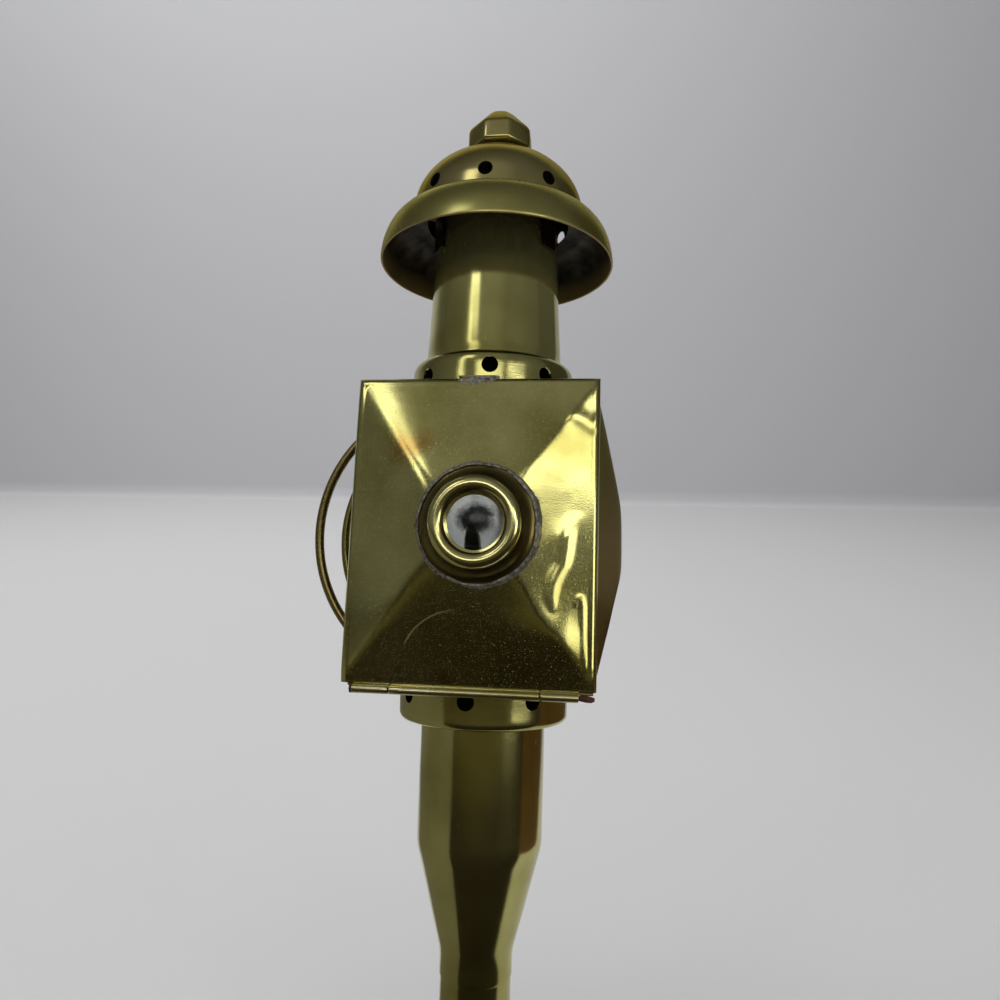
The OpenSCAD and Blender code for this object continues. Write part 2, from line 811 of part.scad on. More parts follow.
module rivet_holes() {
    at_straps() translate([rivet_r, 0, ledge_under_z - strap_t - over])
        cylinder(r = rivet_hole_r, h = strap_t + sheet + 2 * over, $fn = small_fn);
}

module cap_straps() {
    color(dark_brass) difference() {
        at_straps() {
            translate([strap_r, -strap_w / 2, strap_end_z]) cube([strap_t, strap_w, strap_leg]);
            translate([strap_r, -strap_w / 2, ledge_under_z - strap_t])
                cube([strap_out_r - strap_r, strap_w, strap_t]);
        }
        rivet_holes();
        at_straps() translate([rivet_r, 0, ledge_under_z - strap_t - rivet_head_h - fit_gap])
            cylinder(d = rivet_head_d + 2 * fit_gap, h = rivet_head_h + fit_gap, $fn = small_fn);
    }
}

module strap_rivets() {
    color(dark_brass) at_straps() translate([rivet_r, 0, ledge_under_z - strap_t]) {
        translate([0, 0, -rivet_head_h]) cylinder(d = rivet_head_d, h = rivet_head_h, $fn = small_fn);
        cylinder(d = rivet_d, h = strap_t + sheet, $fn = small_fn);
        translate([0, 0, strap_t + sheet]) cylinder(d = rivet_head_d, h = rivet_head_h, $fn = small_fn);
    }
}

module cap_skirt() {
    overhang = cap_r - crease_r;
    outside = arc([crease_r, 0], overhang, skirt_h, 0, 90);
    inside = arc([crease_r, 0], overhang - sheet, skirt_h - sheet, 90, 0);
    ledge = [[ledge_r, skirt_h], [ledge_r, skirt_h - sheet]];
    color(brass) difference() {
        translate([0, 0, rim_z]) rotate_extrude() polygon(concat(outside, ledge, inside));
        rivet_holes();
    }
}

module cap_dome() {
    hole_r = stud_d / 2 + solder_gap;
    top = dome_top_z - dome_z;
    outside = arc([0, dome_wall_h], dome_r, dome_rise, 0, dome_flat_turn);
    inside = arc([0, dome_wall_h], dome_r - sheet, dome_rise - sheet, dome_flat_turn, 0);
    color(brass) translate([0, 0, dome_z]) difference() {
        rotate_extrude() polygon(concat(
            [[dome_r, 0]], outside, [[hole_r, top], [hole_r, top - sheet]], inside, [[dome_r - sheet, 0]]
        ));
        vents(dome_r, dome_vent_d, dome_vent_up, dome_vent_turn);
    }
}

module finial() {
    knob_sides = 8;
    knob_flat_turn = 180 / knob_sides;
    cove = flare(finial_foot_d / 2, finial_neck_d / 2, finial_neck_h);
    tip_r = knob_top_d / 2 * cos(knob_flat_turn);
    tip_sphere_r = (pow(tip_r, 2) + pow(knob_tip_h, 2)) / (2 * knob_tip_h);
    stud_len = sheet + nut_h + stud_d / 2;
    color(brass) translate([0, 0, dome_top_z]) {
        translate([0, 0, -stud_len]) cylinder(d = stud_d, h = stud_len + finial_neck_h);
        rotate_extrude() polygon(concat([[0, 0]], cove, [[0, finial_neck_h]]));
        translate([0, 0, finial_neck_h]) rotate(knob_flat_turn) {
            cylinder(d = knob_d, h = knob_h, $fn = knob_sides);
            translate([0, 0, knob_h])
                cylinder(d1 = knob_d, d2 = knob_top_d, h = knob_point_h, $fn = knob_sides);
        }
        translate([0, 0, finial_neck_h + knob_h + knob_point_h]) intersection() {
            translate([0, 0, knob_tip_h - tip_sphere_r]) sphere(r = tip_sphere_r);
            cylinder(r = tip_r, h = knob_tip_h + over);
        }
    }
}

module finial_nut() {
    color(dark_brass) translate([0, 0, dome_top_z - sheet - nut_h]) difference() {
        cylinder(d = nut_d, h = nut_h, $fn = 6);
        translate([0, 0, -over]) cylinder(r = stud_d / 2 + solder_gap, h = nut_h + 2 * over);
    }
}

stem_tube();
stem_funnel();
end_cap();
candle_tube();
nozzle_cap();
candle();
wick();
follower();
feed_spring();
lower_gallery();
case_floor();
left_frame();
front_frame();
blind_side();
case_roof();
upper_gallery();
chimney();
cap_straps();
strap_rivets();
cap_skirt();
cap_dome();
finial();
finial_nut();
left_glass();
left_glass_clips();
left_guard();
front_glass();
front_glass_clips();
front_guard();
hinge_knuckles();
hinge_pin();
door_panel();
door_catch();
lens_collar();
collar_solder();
lens_bezel();
bullseye_lens();
lens_retainer();
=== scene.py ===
"""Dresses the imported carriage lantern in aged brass, solder, glass and wax, and sets it on a plain stage.

The file is laid out as an add-on and run as a script. Each operator models one group of pieces over the
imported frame, in metres, with the lamp's axis on Z and the door facing -Y.
"""
import math
from functools import partial

import bmesh
import bpy
from bpy.props import FloatProperty, FloatVectorProperty, IntProperty, PointerProperty
from mathutils import Matrix, Vector


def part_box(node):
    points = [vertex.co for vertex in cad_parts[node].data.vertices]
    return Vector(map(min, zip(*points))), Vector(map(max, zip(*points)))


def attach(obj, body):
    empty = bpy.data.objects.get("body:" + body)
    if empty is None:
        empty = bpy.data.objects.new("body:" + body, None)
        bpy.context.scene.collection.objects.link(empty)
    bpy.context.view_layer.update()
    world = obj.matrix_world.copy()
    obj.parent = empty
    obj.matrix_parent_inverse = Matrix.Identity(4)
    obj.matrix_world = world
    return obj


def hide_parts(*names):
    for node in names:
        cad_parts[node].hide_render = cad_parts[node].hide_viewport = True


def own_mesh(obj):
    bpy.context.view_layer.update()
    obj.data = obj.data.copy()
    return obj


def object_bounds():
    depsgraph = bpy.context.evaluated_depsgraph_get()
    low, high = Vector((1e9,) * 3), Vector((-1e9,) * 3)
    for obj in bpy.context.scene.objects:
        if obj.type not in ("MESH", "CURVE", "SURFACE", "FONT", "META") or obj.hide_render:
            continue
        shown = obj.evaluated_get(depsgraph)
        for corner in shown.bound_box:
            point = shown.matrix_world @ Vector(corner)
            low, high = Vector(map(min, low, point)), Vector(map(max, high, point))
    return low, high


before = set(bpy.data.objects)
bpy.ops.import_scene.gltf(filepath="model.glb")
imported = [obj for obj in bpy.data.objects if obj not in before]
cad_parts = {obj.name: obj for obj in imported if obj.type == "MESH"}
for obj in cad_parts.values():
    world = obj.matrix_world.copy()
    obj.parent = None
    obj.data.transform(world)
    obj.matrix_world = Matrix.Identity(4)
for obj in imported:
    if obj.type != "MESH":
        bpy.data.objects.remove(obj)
CAD_BOX = [list(corner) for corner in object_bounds()]

bl_info = {
    "name": "Carriage lantern",
    "version": (1, 0, 0),
    "blender": (4, 5, 0),
    "location": "3D View > Sidebar > Lantern",
    "description": "Models and finishes a brass carriage lantern over its packed frame",
    "category": "Object",
}

MM = 0.001
# Points closer than this are one point
MERGE = 1e-6
# Steps of a turned piece and of a rounded corner, and sides of a drilled hole and of a wire
TURN_STEPS, CORNER_STEPS, HOLE_SIDES, WIRE_SIDES = 144, 8, 40, 20
# Longest step along a turned outline
OUTLINE_STEP = 1.2 * MM
# Faces that meet at more than this angle keep a hard edge
SMOOTH_ANGLE = math.radians(38)
# Sockets of the colour mix node
MIX_FACTOR, MIX_A, MIX_B, MIX_OUT = 0, 6, 7, 2
# Turns about Z that bring a piece made for the door's side to the other sides
BLIND_SIDE, FRONT_SIDE, LEFT_SIDE = math.radians(90), math.radians(180), math.radians(-90)
# Height of the door above its hinged edge
DOOR_HEIGHT = 102 * MM


def reach(node):
    """Largest distance of a CAD node from the lamp's axis along X."""
    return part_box(node)[1].x


def low(node):
    """Lowest level of a CAD node."""
    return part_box(node)[0].z


def high(node):
    """Highest level of a CAD node."""
    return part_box(node)[1].z


def middle(node):
    """Middle of a CAD node's box."""
    low_corner, high_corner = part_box(node)
    return (low_corner + high_corner) / 2


def half_width(node):
    """Half of a CAD node's width along X."""
    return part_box(node)[1].x - middle(node).x


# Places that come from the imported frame
FLOOR_Z = low("case_floor")
ROOF_Z = high("case_roof")
WALL = reach("case_roof")
LENS = middle("lens_bezel")
DOOR_LOW, DOOR_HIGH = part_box("door_panel")


def linear(hex_code):
    """Turn an sRGB hex colour into linear red, green and blue."""
    parts = [int(hex_code[i:i + 2], 16) / 255 for i in (1, 3, 5)]
    return tuple(p / 12.92 if p <= 0.04045 else ((p + 0.055) / 1.055) ** 2.4 for p in parts)


def length(name, description, default_mm):
    """A size in metres that a user may change, given in millimetres."""
    return FloatProperty(
        name=name, description=description, default=default_mm * MM, min=0.0, unit="LENGTH", precision=5
    )


def tint(name, description, hex_code):
    """A colour that a user may change."""
    return FloatVectorProperty(
        name=name, description=description, default=linear(hex_code), min=0.0, max=1.0, subtype="COLOR"
    )


class LanternSizes(bpy.types.PropertyGroup):
    """Sizes of the dressed lantern"""

    sheet: length("Sheet", "Thickness of the brass sheet", 0.8)
    press_rise: length("Press rise", "Height of the pyramid pressed into the door and the blind side", 10)
    press_flat: length("Press flat", "Width of the flat on top of the pyramid", 24)
    press_margin: length("Press margin", "Flat margin left round the pyramid", 0.6)
    crease_soft: length("Crease", "Width over which the pyramid's creases are rounded", 2.4)
    door_lip: length("Door lip", "Depth of the folded edge round the door", 2)
    fold: length("Fold", "Radius of a folded sheet edge", 2.6)
    grid: length("Grid", "Distance between the points of a pressed sheet", 0.65)
    dent_size: length("Dent size", "Width of the waves in the pressed sheets", 26)
    dent_depth: length("Dent depth", "Depth of the waves in the pressed sheets", 1.3)
    vent: length("Vent", "Diameter of the gallery vents", 5.9)
    dome_vent: length("Dome vent", "Diameter of the dome vents", 5.4)
    upper_round: length("Upper round", "Length of the upper gallery's rounded corner", 4.5)
    lower_round: length("Lower round", "Length of the lower gallery's rounded corner", 2.6)
    chimney_top: length("Chimney top", "Diameter of the chimney's upper end", 46)
    crease: length("Cap crease", "Radius of the crease between skirt and dome", 34)
    ledge: length("Cap ledge", "Inner radius of the ledge under the dome", 28)
    dome_wall: length("Dome wall", "Straight wall at the dome's foot", 4)
    knob: length("Knob", "Width of the finial's knob over its corners", 26.6)
    neck: length("Finial neck", "Diameter of the finial's neck", 11.6)
    neck_h: length("Neck height", "Height of the finial's neck", 3)
    knob_h: length("Knob height", "Height of the knob's upright faces", 7.8)
    collar_neck: length("Collar neck", "Diameter of the lens collar's neck", 27.2)
    collar_wall: length("Collar wall", "Thickness of the lens collar", 0.9)
    bezel_roll: length("Bezel roll", "Thickness of the rolled bezel", 5)
    lens_edge: length("Lens edge", "Thickness of the lens at its edge", 3)
    wire: length("Guard wire", "Diameter of the guard wires", 3.3)
    guard_pitch: length("Guard pitch", "Distance between the two wires of a guard", 30)
    window_w: length("Window width", "Width of a window opening", 60)
    window_h: length("Window height", "Height of a window opening", 80)
    pin: length("Hinge pin", "Diameter of the hinge pin", 1.5)
    knuckle_wall: length("Knuckle wall", "Thickness of the rolled hinge knuckles", 0.6)
    spring_wire: length("Spring wire", "Diameter of the feed spring's wire", 1.6)
    spring_turns: IntProperty(name="Spring turns", description="Turns of the feed spring", default=7, min=3)
    vent_count: IntProperty(name="Vents", description="Vent holes in a ring", default=8, min=4)


class LanternColours(bpy.types.PropertyGroup):
    """Colours of the dressed lantern and its stage"""

    brass: tint("Brass", "Polished brass where it is cleanest", "#cfca84")
    brass_deep: tint("Deep brass", "Brass that has gone olive with age", "#a09852")
    brass_warm: tint("Warm brass", "Cast and spun brass of the cap", "#c6ba7e")
    brass_brown: tint("Brown brass", "Brass with a brown skin, on the sides", "#8c7450")
    heat: tint("Heat stain", "Amber stain left by soldering heat", "#a9742c")
    # Soot, which on the chimney's top also paints the shade under the cap
    soot_and_shade: tint("Soot", "Soot and smoke inside the cap and chimney", "#16130f")
    solder: tint("Solder", "Old tin solder", "#979286")
    rust: tint("Rust", "Rust on the hinge pin", "#5a3524")
    wax: tint("Wax", "Candle wax", "#ece4cf")
    floor: tint("Floor", "Pale floor", "#dcdcdc")
    wall: tint("Wall", "Pale grey backdrop", "#cacacd")


def sizes():
    """The lantern's sizes in this scene."""
    return bpy.context.scene.lantern_sizes


def colours():
    """The lantern's colours in this scene."""
    return bpy.context.scene.lantern_colours


# Outlines


def clamped(value):
    """A value kept between 0 and 1."""
    return max(0.0, min(1.0, value))


def spaced(start, end):
    """Points from start to end, both kept, no further apart than a step of an outline."""
    start, end = Vector(start), Vector(end)
    count = max(1, math.ceil((end - start).length / OUTLINE_STEP))
    return [start.lerp(end, i / count) for i in range(count + 1)]


def bow(centre, half_r, half_z, start, end, count=24):
    """Points of an elliptical arc in the outline plane, between two turns in degrees."""
    turns = [math.radians(start + (end - start) * i / count) for i in range(count + 1)]
    return [Vector((centre[0] + half_r * math.cos(t), centre[1] + half_z * math.sin(t))) for t in turns]


def joined(*parts):
    """One outline from several, without doubled points."""
    points = []
    for point in (Vector(p) for part in parts for p in part):
        if not points or (point - points[-1]).length > MERGE:
            points.append(point)
    return points


def eased(corners, ease):
    """An outline through corners, each rounded over the length that it is eased by."""
    corners = [Vector(c) for c in corners]
    shares = [i / CORNER_STEPS for i in range(CORNER_STEPS + 1)]
    start, parts = corners[0], []
    for before, corner, after in zip(corners, corners[1:], corners[2:]):
        arrive = corner + (before - corner).normalized() * ease
        depart = corner + (after - corner).normalized() * ease
        parts.append(spaced(start, arrive))
        parts.append([arrive.lerp(corner, t).lerp(corner.lerp(depart, t), t) for t in shares])
        start = depart
    return joined(*parts, spaced(start, corners[-1]))


# Modelling steps


def named(piece, name):
    """Give a piece and its mesh a name."""
    piece.name = piece.data.name = name
    return piece


def choose(*pieces):
    """Make some pieces the only selected ones and the first of them the active one."""
    bpy.ops.object.select_all(action="DESELECT")
    for piece in pieces:
        piece.select_set(True)
    bpy.context.view_layer.objects.active = pieces[0]


def settle(piece):
    """Put the piece's place, turn and scale into its mesh."""
    choose(piece)
    bpy.ops.object.transform_apply(location=True, rotation=True, scale=True)
    return piece


def begin(add, name, stretch=(1, 1, 1), **settings):
    """Add one primitive by itself, name it, and put its place, turn and stretch into its mesh."""
    bpy.ops.object.select_all(action="DESELECT")
    add(**settings)
    bpy.context.tool_settings.mesh_select_mode = (True, False, False)
    piece = named(bpy.context.object, name)
    piece.scale = stretch
    return settle(piece)


def edit():
    """Enter edit mode with the whole mesh selected."""
    bpy.ops.object.mode_set(mode="EDIT")
    bpy.ops.mesh.select_all(action="SELECT")


def leave():
    """Go back to object mode."""
    bpy.ops.object.mode_set(mode="OBJECT")


def outward():
    """Merge the doubled points of the mesh in edit mode, turn its faces outwards and leave edit mode."""
    bpy.ops.mesh.select_all(action="SELECT")
    bpy.ops.mesh.remove_doubles(threshold=MERGE)
    bpy.ops.mesh.normals_make_consistent(inside=False)
    leave()


def pick(kind, test):
    """Select the edges or the faces of the mesh in edit mode that pass a test."""
    bpy.ops.mesh.select_mode(type=kind)
    bpy.ops.mesh.select_all(action="DESELECT")
    mesh = bpy.context.edit_object.data
    shape = bmesh.from_edit_mesh(mesh)
    for item in {"EDGE": shape.edges, "FACE": shape.faces}[kind]:
        if test(item):
            item.select_set(True)
    shape.select_flush_mode()
    bmesh.update_edit_mesh(mesh)


def pull(move):
    """Extrude what is selected by a move."""
    bpy.ops.mesh.extrude_region_move(TRANSFORM_OT_translate={"value": move})


def modify(piece, kind, **settings):
    """Add a modifier with its settings and apply it."""
    choose(piece)
    modifier = piece.modifiers.new(kind, kind)
    for key, value in settings.items():
        setattr(modifier, key, value)
    bpy.ops.object.modifier_apply(modifier=modifier.name)
    return piece


def broken(piece, width, segments=2, sharp=60):
    """Round off the edges that are sharper than an angle in degrees."""
    return modify(
        piece, "BEVEL", width=width, segments=segments, limit_method="ANGLE", angle_limit=math.radians(sharp)
    )


def walled(piece, thickness=None, edge=0.2 * MM):
    """Give a surface its thickness inwards, the brass sheet's if none is named, and break the cut edges."""
    modify(piece, "SOLIDIFY", thickness=thickness or sizes().sheet, offset=-1, use_even_offset=True)
    return broken(piece, edge)


def waved(piece, size, depth, group="", way="NORMAL"):
    """Push a surface in and out by a soft cloud pattern of a real size."""
    pattern = bpy.data.textures.new(piece.name, "CLOUDS")
    pattern.noise_scale = size
    pattern.noise_depth = 1
    return modify(
        piece, "DISPLACE", texture=pattern, texture_coords="LOCAL", strength=depth, mid_level=0.5,
        vertex_group=group, direction=way,
    )


def weighed(piece, name, weight_at):
    """Give the piece a vertex group whose weights come from each point's place."""
    group = piece.vertex_groups.new(name=name)
    for vertex in piece.data.vertices:
        group.add([vertex.index], weight_at(vertex.co), "REPLACE")


def pushed(piece, name, weight_at, way, depth):
    """Move a piece's points along an axis, each by its own share of the depth."""
    weighed(piece, name, weight_at)
    return modify(piece, "DISPLACE", strength=depth, mid_level=0, direction=way, vertex_group=name)


def drawn(name, points):
    """Draw a line of edges through points, and stay in edit mode."""
    piece = begin(bpy.ops.mesh.primitive_plane_add, name, size=MM)
    edit()
    bpy.ops.mesh.merge(type="CENTER")
    bpy.ops.transform.translate(value=points[0])
    for here, there in zip(points, points[1:]):
        pull(there - here)
    bpy.ops.mesh.select_all(action="SELECT")
    return piece


def spun(name, outline, on_lens=False, steps=TURN_STEPS):
    """Turn an outline of (radius, height) points about the lamp's axis, or about the lens's axis."""
    if on_lens:
        points = [Vector((LENS.x + r, -h, LENS.z)) for r, h in outline]
        centre, axis = (LENS.x, 0, LENS.z), (0, -1, 0)
    else:
        points = [Vector((r, 0, h)) for r, h in outline]
        centre, axis = (0, 0, 0), (0, 0, 1)
    piece = drawn(name, points)
    bpy.ops.mesh.spin(steps=steps, angle=2 * math.pi, center=centre, axis=axis)
    outward()
    return piece


def copied(piece, name, move=(0, 0, 0), turn=0.0):
    """Copy a piece with its own mesh, moved and turned about the lamp's axis."""
    choose(piece)
    bpy.ops.object.duplicate()
    copy = named(bpy.context.object, name)
    copy.location = move
    copy.rotation_euler.z = turn
    return settle(copy)


def fused(name, pieces):
    """Join several pieces into one."""
    choose(*pieces)
    bpy.ops.object.join()
    return named(pieces[0], name)


def drilled(piece, holes):
    """Cut round holes, each given by its middle, its direction, its diameter and its depth."""
    drills = []
    for place, direction, diameter, depth in holes:
        turn = Vector(direction).to_track_quat("Z", "Y").to_euler()
        drills.append(begin(
            bpy.ops.mesh.primitive_cylinder_add, "drill", vertices=HOLE_SIDES, radius=diameter / 2,
            depth=depth, location=place, rotation=turn,
        ))
    drill = fused("drill", drills)
    modify(piece, "BOOLEAN", operation="DIFFERENCE", solver="EXACT", object=drill)
    bpy.data.objects.remove(drill)


def vented(piece, radius, level, diameter, turn_degrees, drift):
    """Drill the ring of vents: some stray a few degrees round the wall and up it."""
    holes = []
    for i in range(sizes().vent_count):
        stray, lift = drift.get(i, (0, 0))
        turn = math.radians(turn_degrees + stray) + 2 * math.pi * i / sizes().vent_count
        out = Vector((math.sin(turn), -math.cos(turn), 0))
        holes.append((out * radius + Vector((0, 0, level + lift)), out, diameter, radius / 2))
    drilled(piece, holes)


def lined(piece, finish, test):
    """Give the faces that pass a test of middle and normal a second finish."""
    piece.data.materials.append(bpy.data.materials[finish])
    for face in piece.data.polygons:
        if test(face.center, face.normal):
            face.material_index = 1


def faces_axis(centre, normal):
    """True where a face of a turned piece looks towards the lamp's axis."""
    return normal.x * centre.x + normal.y * centre.y < -0.1 * math.hypot(centre.x, centre.y)


def finished(piece, finish, *nodes, body="lantern", slot="brass_sheet"):
    """Smooth a piece, give it its finish, and hang it on its body in place of its CAD nodes."""
    settle(piece)
    piece.data.materials.append(bpy.data.materials[finish])
    bpy.ops.object.shade_smooth_by_angle(angle=SMOOTH_ANGLE)
    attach(piece, body)
    if nodes:
        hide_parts(*nodes)


# Finishes


def per_mm(size):
    """Scale of a pattern on Object coordinates that repeats about every so many millimetres."""
    return 1 / (size * MM)


def opaque(colour):
    """A colour with full alpha."""
    return (*colour, 1.0)


def feed(node, inputs):
    """Set a node's inputs, given by name or in the node's own order, or link them to other outputs."""
    pairs = inputs.items() if isinstance(inputs, dict) else enumerate(inputs)
    for key, value in pairs:
        if isinstance(value, bpy.types.NodeSocket):
            node.id_data.links.new(value, node.inputs[key])
        else:
            node.inputs[key].default_value = value


def add_node(tree, kind, inputs=(), out=0, **settings):
    """Add a shader node with its settings, feed its inputs and return one of its outputs.

    A range is fed in its own order: the value, the two ends that it runs between and what they become.
    """
    node = tree.nodes.new("ShaderNode" + kind)
    for key, value in settings.items():
        setattr(node, key, value)
    feed(node, inputs)
    return node.outputs[out]


def new_finish(name):
    """A new material's way to add nodes, its shader and its Object coordinates."""
    material = bpy.data.materials.new(name)
    material.use_nodes = True
    add = partial(add_node, material.node_tree)
    return add, material.node_tree.nodes["Principled BSDF"], add("TexCoord", out="Object")


def far_from(add, place, point, weights):
    """Distance of each place from a point, with each axis counted by its weight."""
    offset = add("VectorMath", (place, point), operation="SUBTRACT")
    counted = add("VectorMath", (offset, weights), operation="MULTIPLY")
    return add("VectorMath", (counted,), "Value", operation="LENGTH")


def aged_brass(
    name, clean, deep, roughness, speck=1.0, rings=0.0, stain=0.0, relief=0.35, edge=None, dust=0.0,
    spots=(), scratch_and_highlight_arcs=(), smoke_and_shade=None,
):
    """Old sheet brass: a yellow mirror dulled by an olive skin, pin specks, hairlines and heat stains.

    Rings are the faint lines that spinning leaves round a turned piece. Edge is the tint at a glancing view.
    Dust is the share of the skin that scatters light. Spots are places of heat stain, each a point, a radius
    and a flatness. Arcs are long scratches, less metallic and rougher, which also paint the highlight of a
    crease: each a centre, a radius and the corner that it stays above and to the left of. Smoke and shade is
    the level where soot begins and the level where it is full; this soot also paints the shade under the cap.
    """
    add, shader, place = new_finish(name)
    c = colours()
    skin = add("TexNoise", {"Vector": place, "Scale": per_mm(34), "Detail": 4.0})
    layers = [(add("MapRange", (skin, 0.36, 0.7)), deep)]

    # Heat stains where the piece was soldered, with ragged edges
    blot = add("TexNoise", {"Vector": place, "Scale": per_mm(9), "Detail": 5.0, "Roughness": 0.65})
    layers.append((add("MapRange", (blot, 0.6, 0.74, 0.0, stain)), c.heat))
    for point, radius, flatness in spots:
        far = far_from(add, place, point, (1.0, 1.0, flatness))
        ragged = add("Math", (blot, radius * 1.6, far), operation="MULTIPLY_ADD")
        layers.append((add("MapRange", (ragged, radius * 0.8, radius * 1.8, 0.7, 0.0)), c.heat))

    # Pin specks of dust about 0.4 mm across, which scatter light where the brass mirrors the dark
    pins = add("TexNoise", {"Vector": place, "Scale": per_mm(0.45), "Detail": 2.0})
    dots = add("MapRange", (pins, 0.56, 0.74, 0.0, 0.5 * speck))
    layers.append((dots, c.brass))
    # Long scratches, less metallic and rougher so they read pale, which also paint the highlight of a crease
    for centre, radius, corner in scratch_and_highlight_arcs:
        far = far_from(add, place, centre, (1.0, 0.0, 1.0))
        off = add("Math", (far, radius), operation="SUBTRACT")
        gap = add("Math", (off,), operation="ABSOLUTE")
        line = add("MapRange", (gap, 0.1 * MM, 0.4 * MM, 0.45, 0.0))
        height = add("SeparateXYZ", (place,), "Z")
        across = height.node.outputs["X"]
        for kept in (
            add("MapRange", (across, corner.x - 5 * MM, corner.x, 1.0, 0.0)),
            add("MapRange", (height, corner.z, corner.z + 3 * MM)),
        ):
            line = add("Math", (line, kept), operation="MULTIPLY")
        dots = add("Math", (dots, line), operation="MAXIMUM")

    # Hairline scratches, long and thin across the sheet
    drag = add("Mapping", {"Vector": place, "Rotation": (0.3, 1.0, 0.5), "Scale": (1.0, 1.0, 0.07)})
    hair = add("TexNoise", {"Vector": drag, "Scale": per_mm(0.7), "Detail": 2.0})
    scratch = add("MapRange", (hair, 0.7, 0.76, 0.0, 0.3))

    # The skin scatters more than clean metal, specks and scratches more still, and the soot, which also
    # paints shade, most
    blurs = [(dots, 0.3), (scratch, 0.4)]
    # Soot, darker towards the top: real soot that also paints the shade that the cap casts
    if smoke_and_shade:
        height = add("SeparateXYZ", (place,), "Z")
        drift = add("Math", (skin, 8 * MM, height), operation="MULTIPLY_ADD")
        soot_and_shade_mask = add("MapRange", (drift, *smoke_and_shade, 0.0, 0.93))
        layers.append((soot_and_shade_mask, c.soot_and_shade))
        blurs.append((soot_and_shade_mask, 0.45))
    gloss = add("MapRange", (skin, 0.3, 0.7, roughness * 0.75, roughness * 1.35))
    for mask, blur in blurs:
        gloss = add("Math", (mask, blur, gloss), operation="MULTIPLY_ADD")

    # Fine pitting, scratches and spinning lines in relief
    lines = add("Mapping", {"Vector": place, "Scale": (0.02, 0.02, 1.0)})
    ring = add("TexNoise", {"Vector": lines, "Scale": per_mm(0.7), "Detail": 2.0})
    pitted = add("Math", (ring, rings, pins), operation="MULTIPLY_ADD")
    carved = add("Math", (scratch, -1.5, pitted), operation="MULTIPLY_ADD")
    colour = opaque(clean)
    for share, tone in layers:
        mix = {MIX_FACTOR: share, MIX_A: colour, MIX_B: opaque(tone)}
        colour = add("Mix", mix, MIX_OUT, data_type="RGBA")
    feed(shader, {
        "Base Color": colour,
        "Metallic": add("Math", (dots, -0.5, 1.0 - dust), operation="MULTIPLY_ADD"),
        "Roughness": gloss,
        "Normal": add("Bump", {"Height": carved, "Strength": relief, "Distance": 0.03 * MM}),
    })
    if edge:
        feed(shader, {"Specular Tint": opaque(edge)})


def rough_metal(name, light, dark, roughness, size_mm, relief_mm, metallic=1.0, bare_and_lit=None):
    """Dull metal with a blotchy skin and a lumpy relief, such as old solder or rusted iron.

    Bare and lit is the colour of the metal under the skin, the level up to which it shows and the level where
    it is gone: a cleaner rim that also paints light reaching into an opening, with painted shade deeper in.
    """
    add, shader, place = new_finish(name)
    blot = add("TexNoise", {"Vector": place, "Scale": per_mm(size_mm), "Detail": 6.0, "Roughness": 0.6})
    layers = [(add("MapRange", (blot, 0.35, 0.65)), light)]
    if bare_and_lit:
        metal, shown, gone = bare_and_lit
        height = add("SeparateXYZ", (place,), "Z")
        ragged = add("Math", (blot, 8 * MM, height), operation="MULTIPLY_ADD")
        layers.append((add("MapRange", (ragged, shown, gone, 1.0, 0.0)), metal))
    colour = opaque(dark)
    for share, tone in layers:
        mix = {MIX_FACTOR: share, MIX_A: colour, MIX_B: opaque(tone)}
        colour = add("Mix", mix, MIX_OUT, data_type="RGBA")
    feed(shader, {
        "Base Color": colour,
        "Metallic": metallic,
        "Roughness": add("MapRange", (blot, 0.3, 0.7, roughness * 1.2, roughness * 0.8)),
        "Normal": add("Bump", {"Height": blot, "Strength": 0.8, "Distance": relief_mm * MM}),
    })


def clear_glass(name, ior, frost, dust, tone, smoke_and_shade=None):
    """Old clear glass: colourless, with a thin haze of dust that blurs it in patches.

    Frost is the blur of its worn face, and dust is what the haze adds. Smoke and shade is the middle of a
    painted shade: the dark shape of the candle and its nozzle seen through the lens, painted on the glass as
    a round cloud over a darker upright bar.
    """
    add, shader, place = new_finish(name)
    haze = add("TexNoise", {"Vector": place, "Scale": per_mm(6), "Detail": 6.0})
    colour = opaque(linear(tone))
    if smoke_and_shade:
        grit = add("TexNoise", {"Vector": place, "Scale": per_mm(1.6), "Detail": 5.0, "Roughness": 0.7})
        masks = []
        # The painted shade of the candle and nozzle, a cloud and a bar, in millimetres from the middle:
        # place, half sizes and softness of the edge
        for right, up, half_w, half_h, soft in ((0.2, 1.2, 6.2, 4.6, 0.36), (-0.5, -10.6, 2.5, 12, 0.12)):
            centre = (smoke_and_shade.x + right * MM, 0.0, smoke_and_shade.z + up * MM)
            far = far_from(add, place, centre, (per_mm(half_w), 0.0, per_mm(half_h)))
            ragged = add("Math", (grit, 2 * soft, far), operation="MULTIPLY_ADD")
            masks.append(add("MapRange", (ragged, 1.0, 1.0 + 1.2 * soft, 1.0, 0.0)))
        # Mask of the painted shade of the candle seen through the glass
        stain = add("Math", masks, operation="MAXIMUM")
        mix = {MIX_FACTOR: stain, MIX_A: colour, MIX_B: opaque(linear("#151513"))}
        colour = add("Mix", mix, MIX_OUT, data_type="RGBA")
    feed(shader, {
        "Base Color": colour,
        "Roughness": add("MapRange", (haze, 0.45, 0.75, frost, frost + dust)),
        "Transmission Weight": 1.0,
        "IOR": ior,
    })


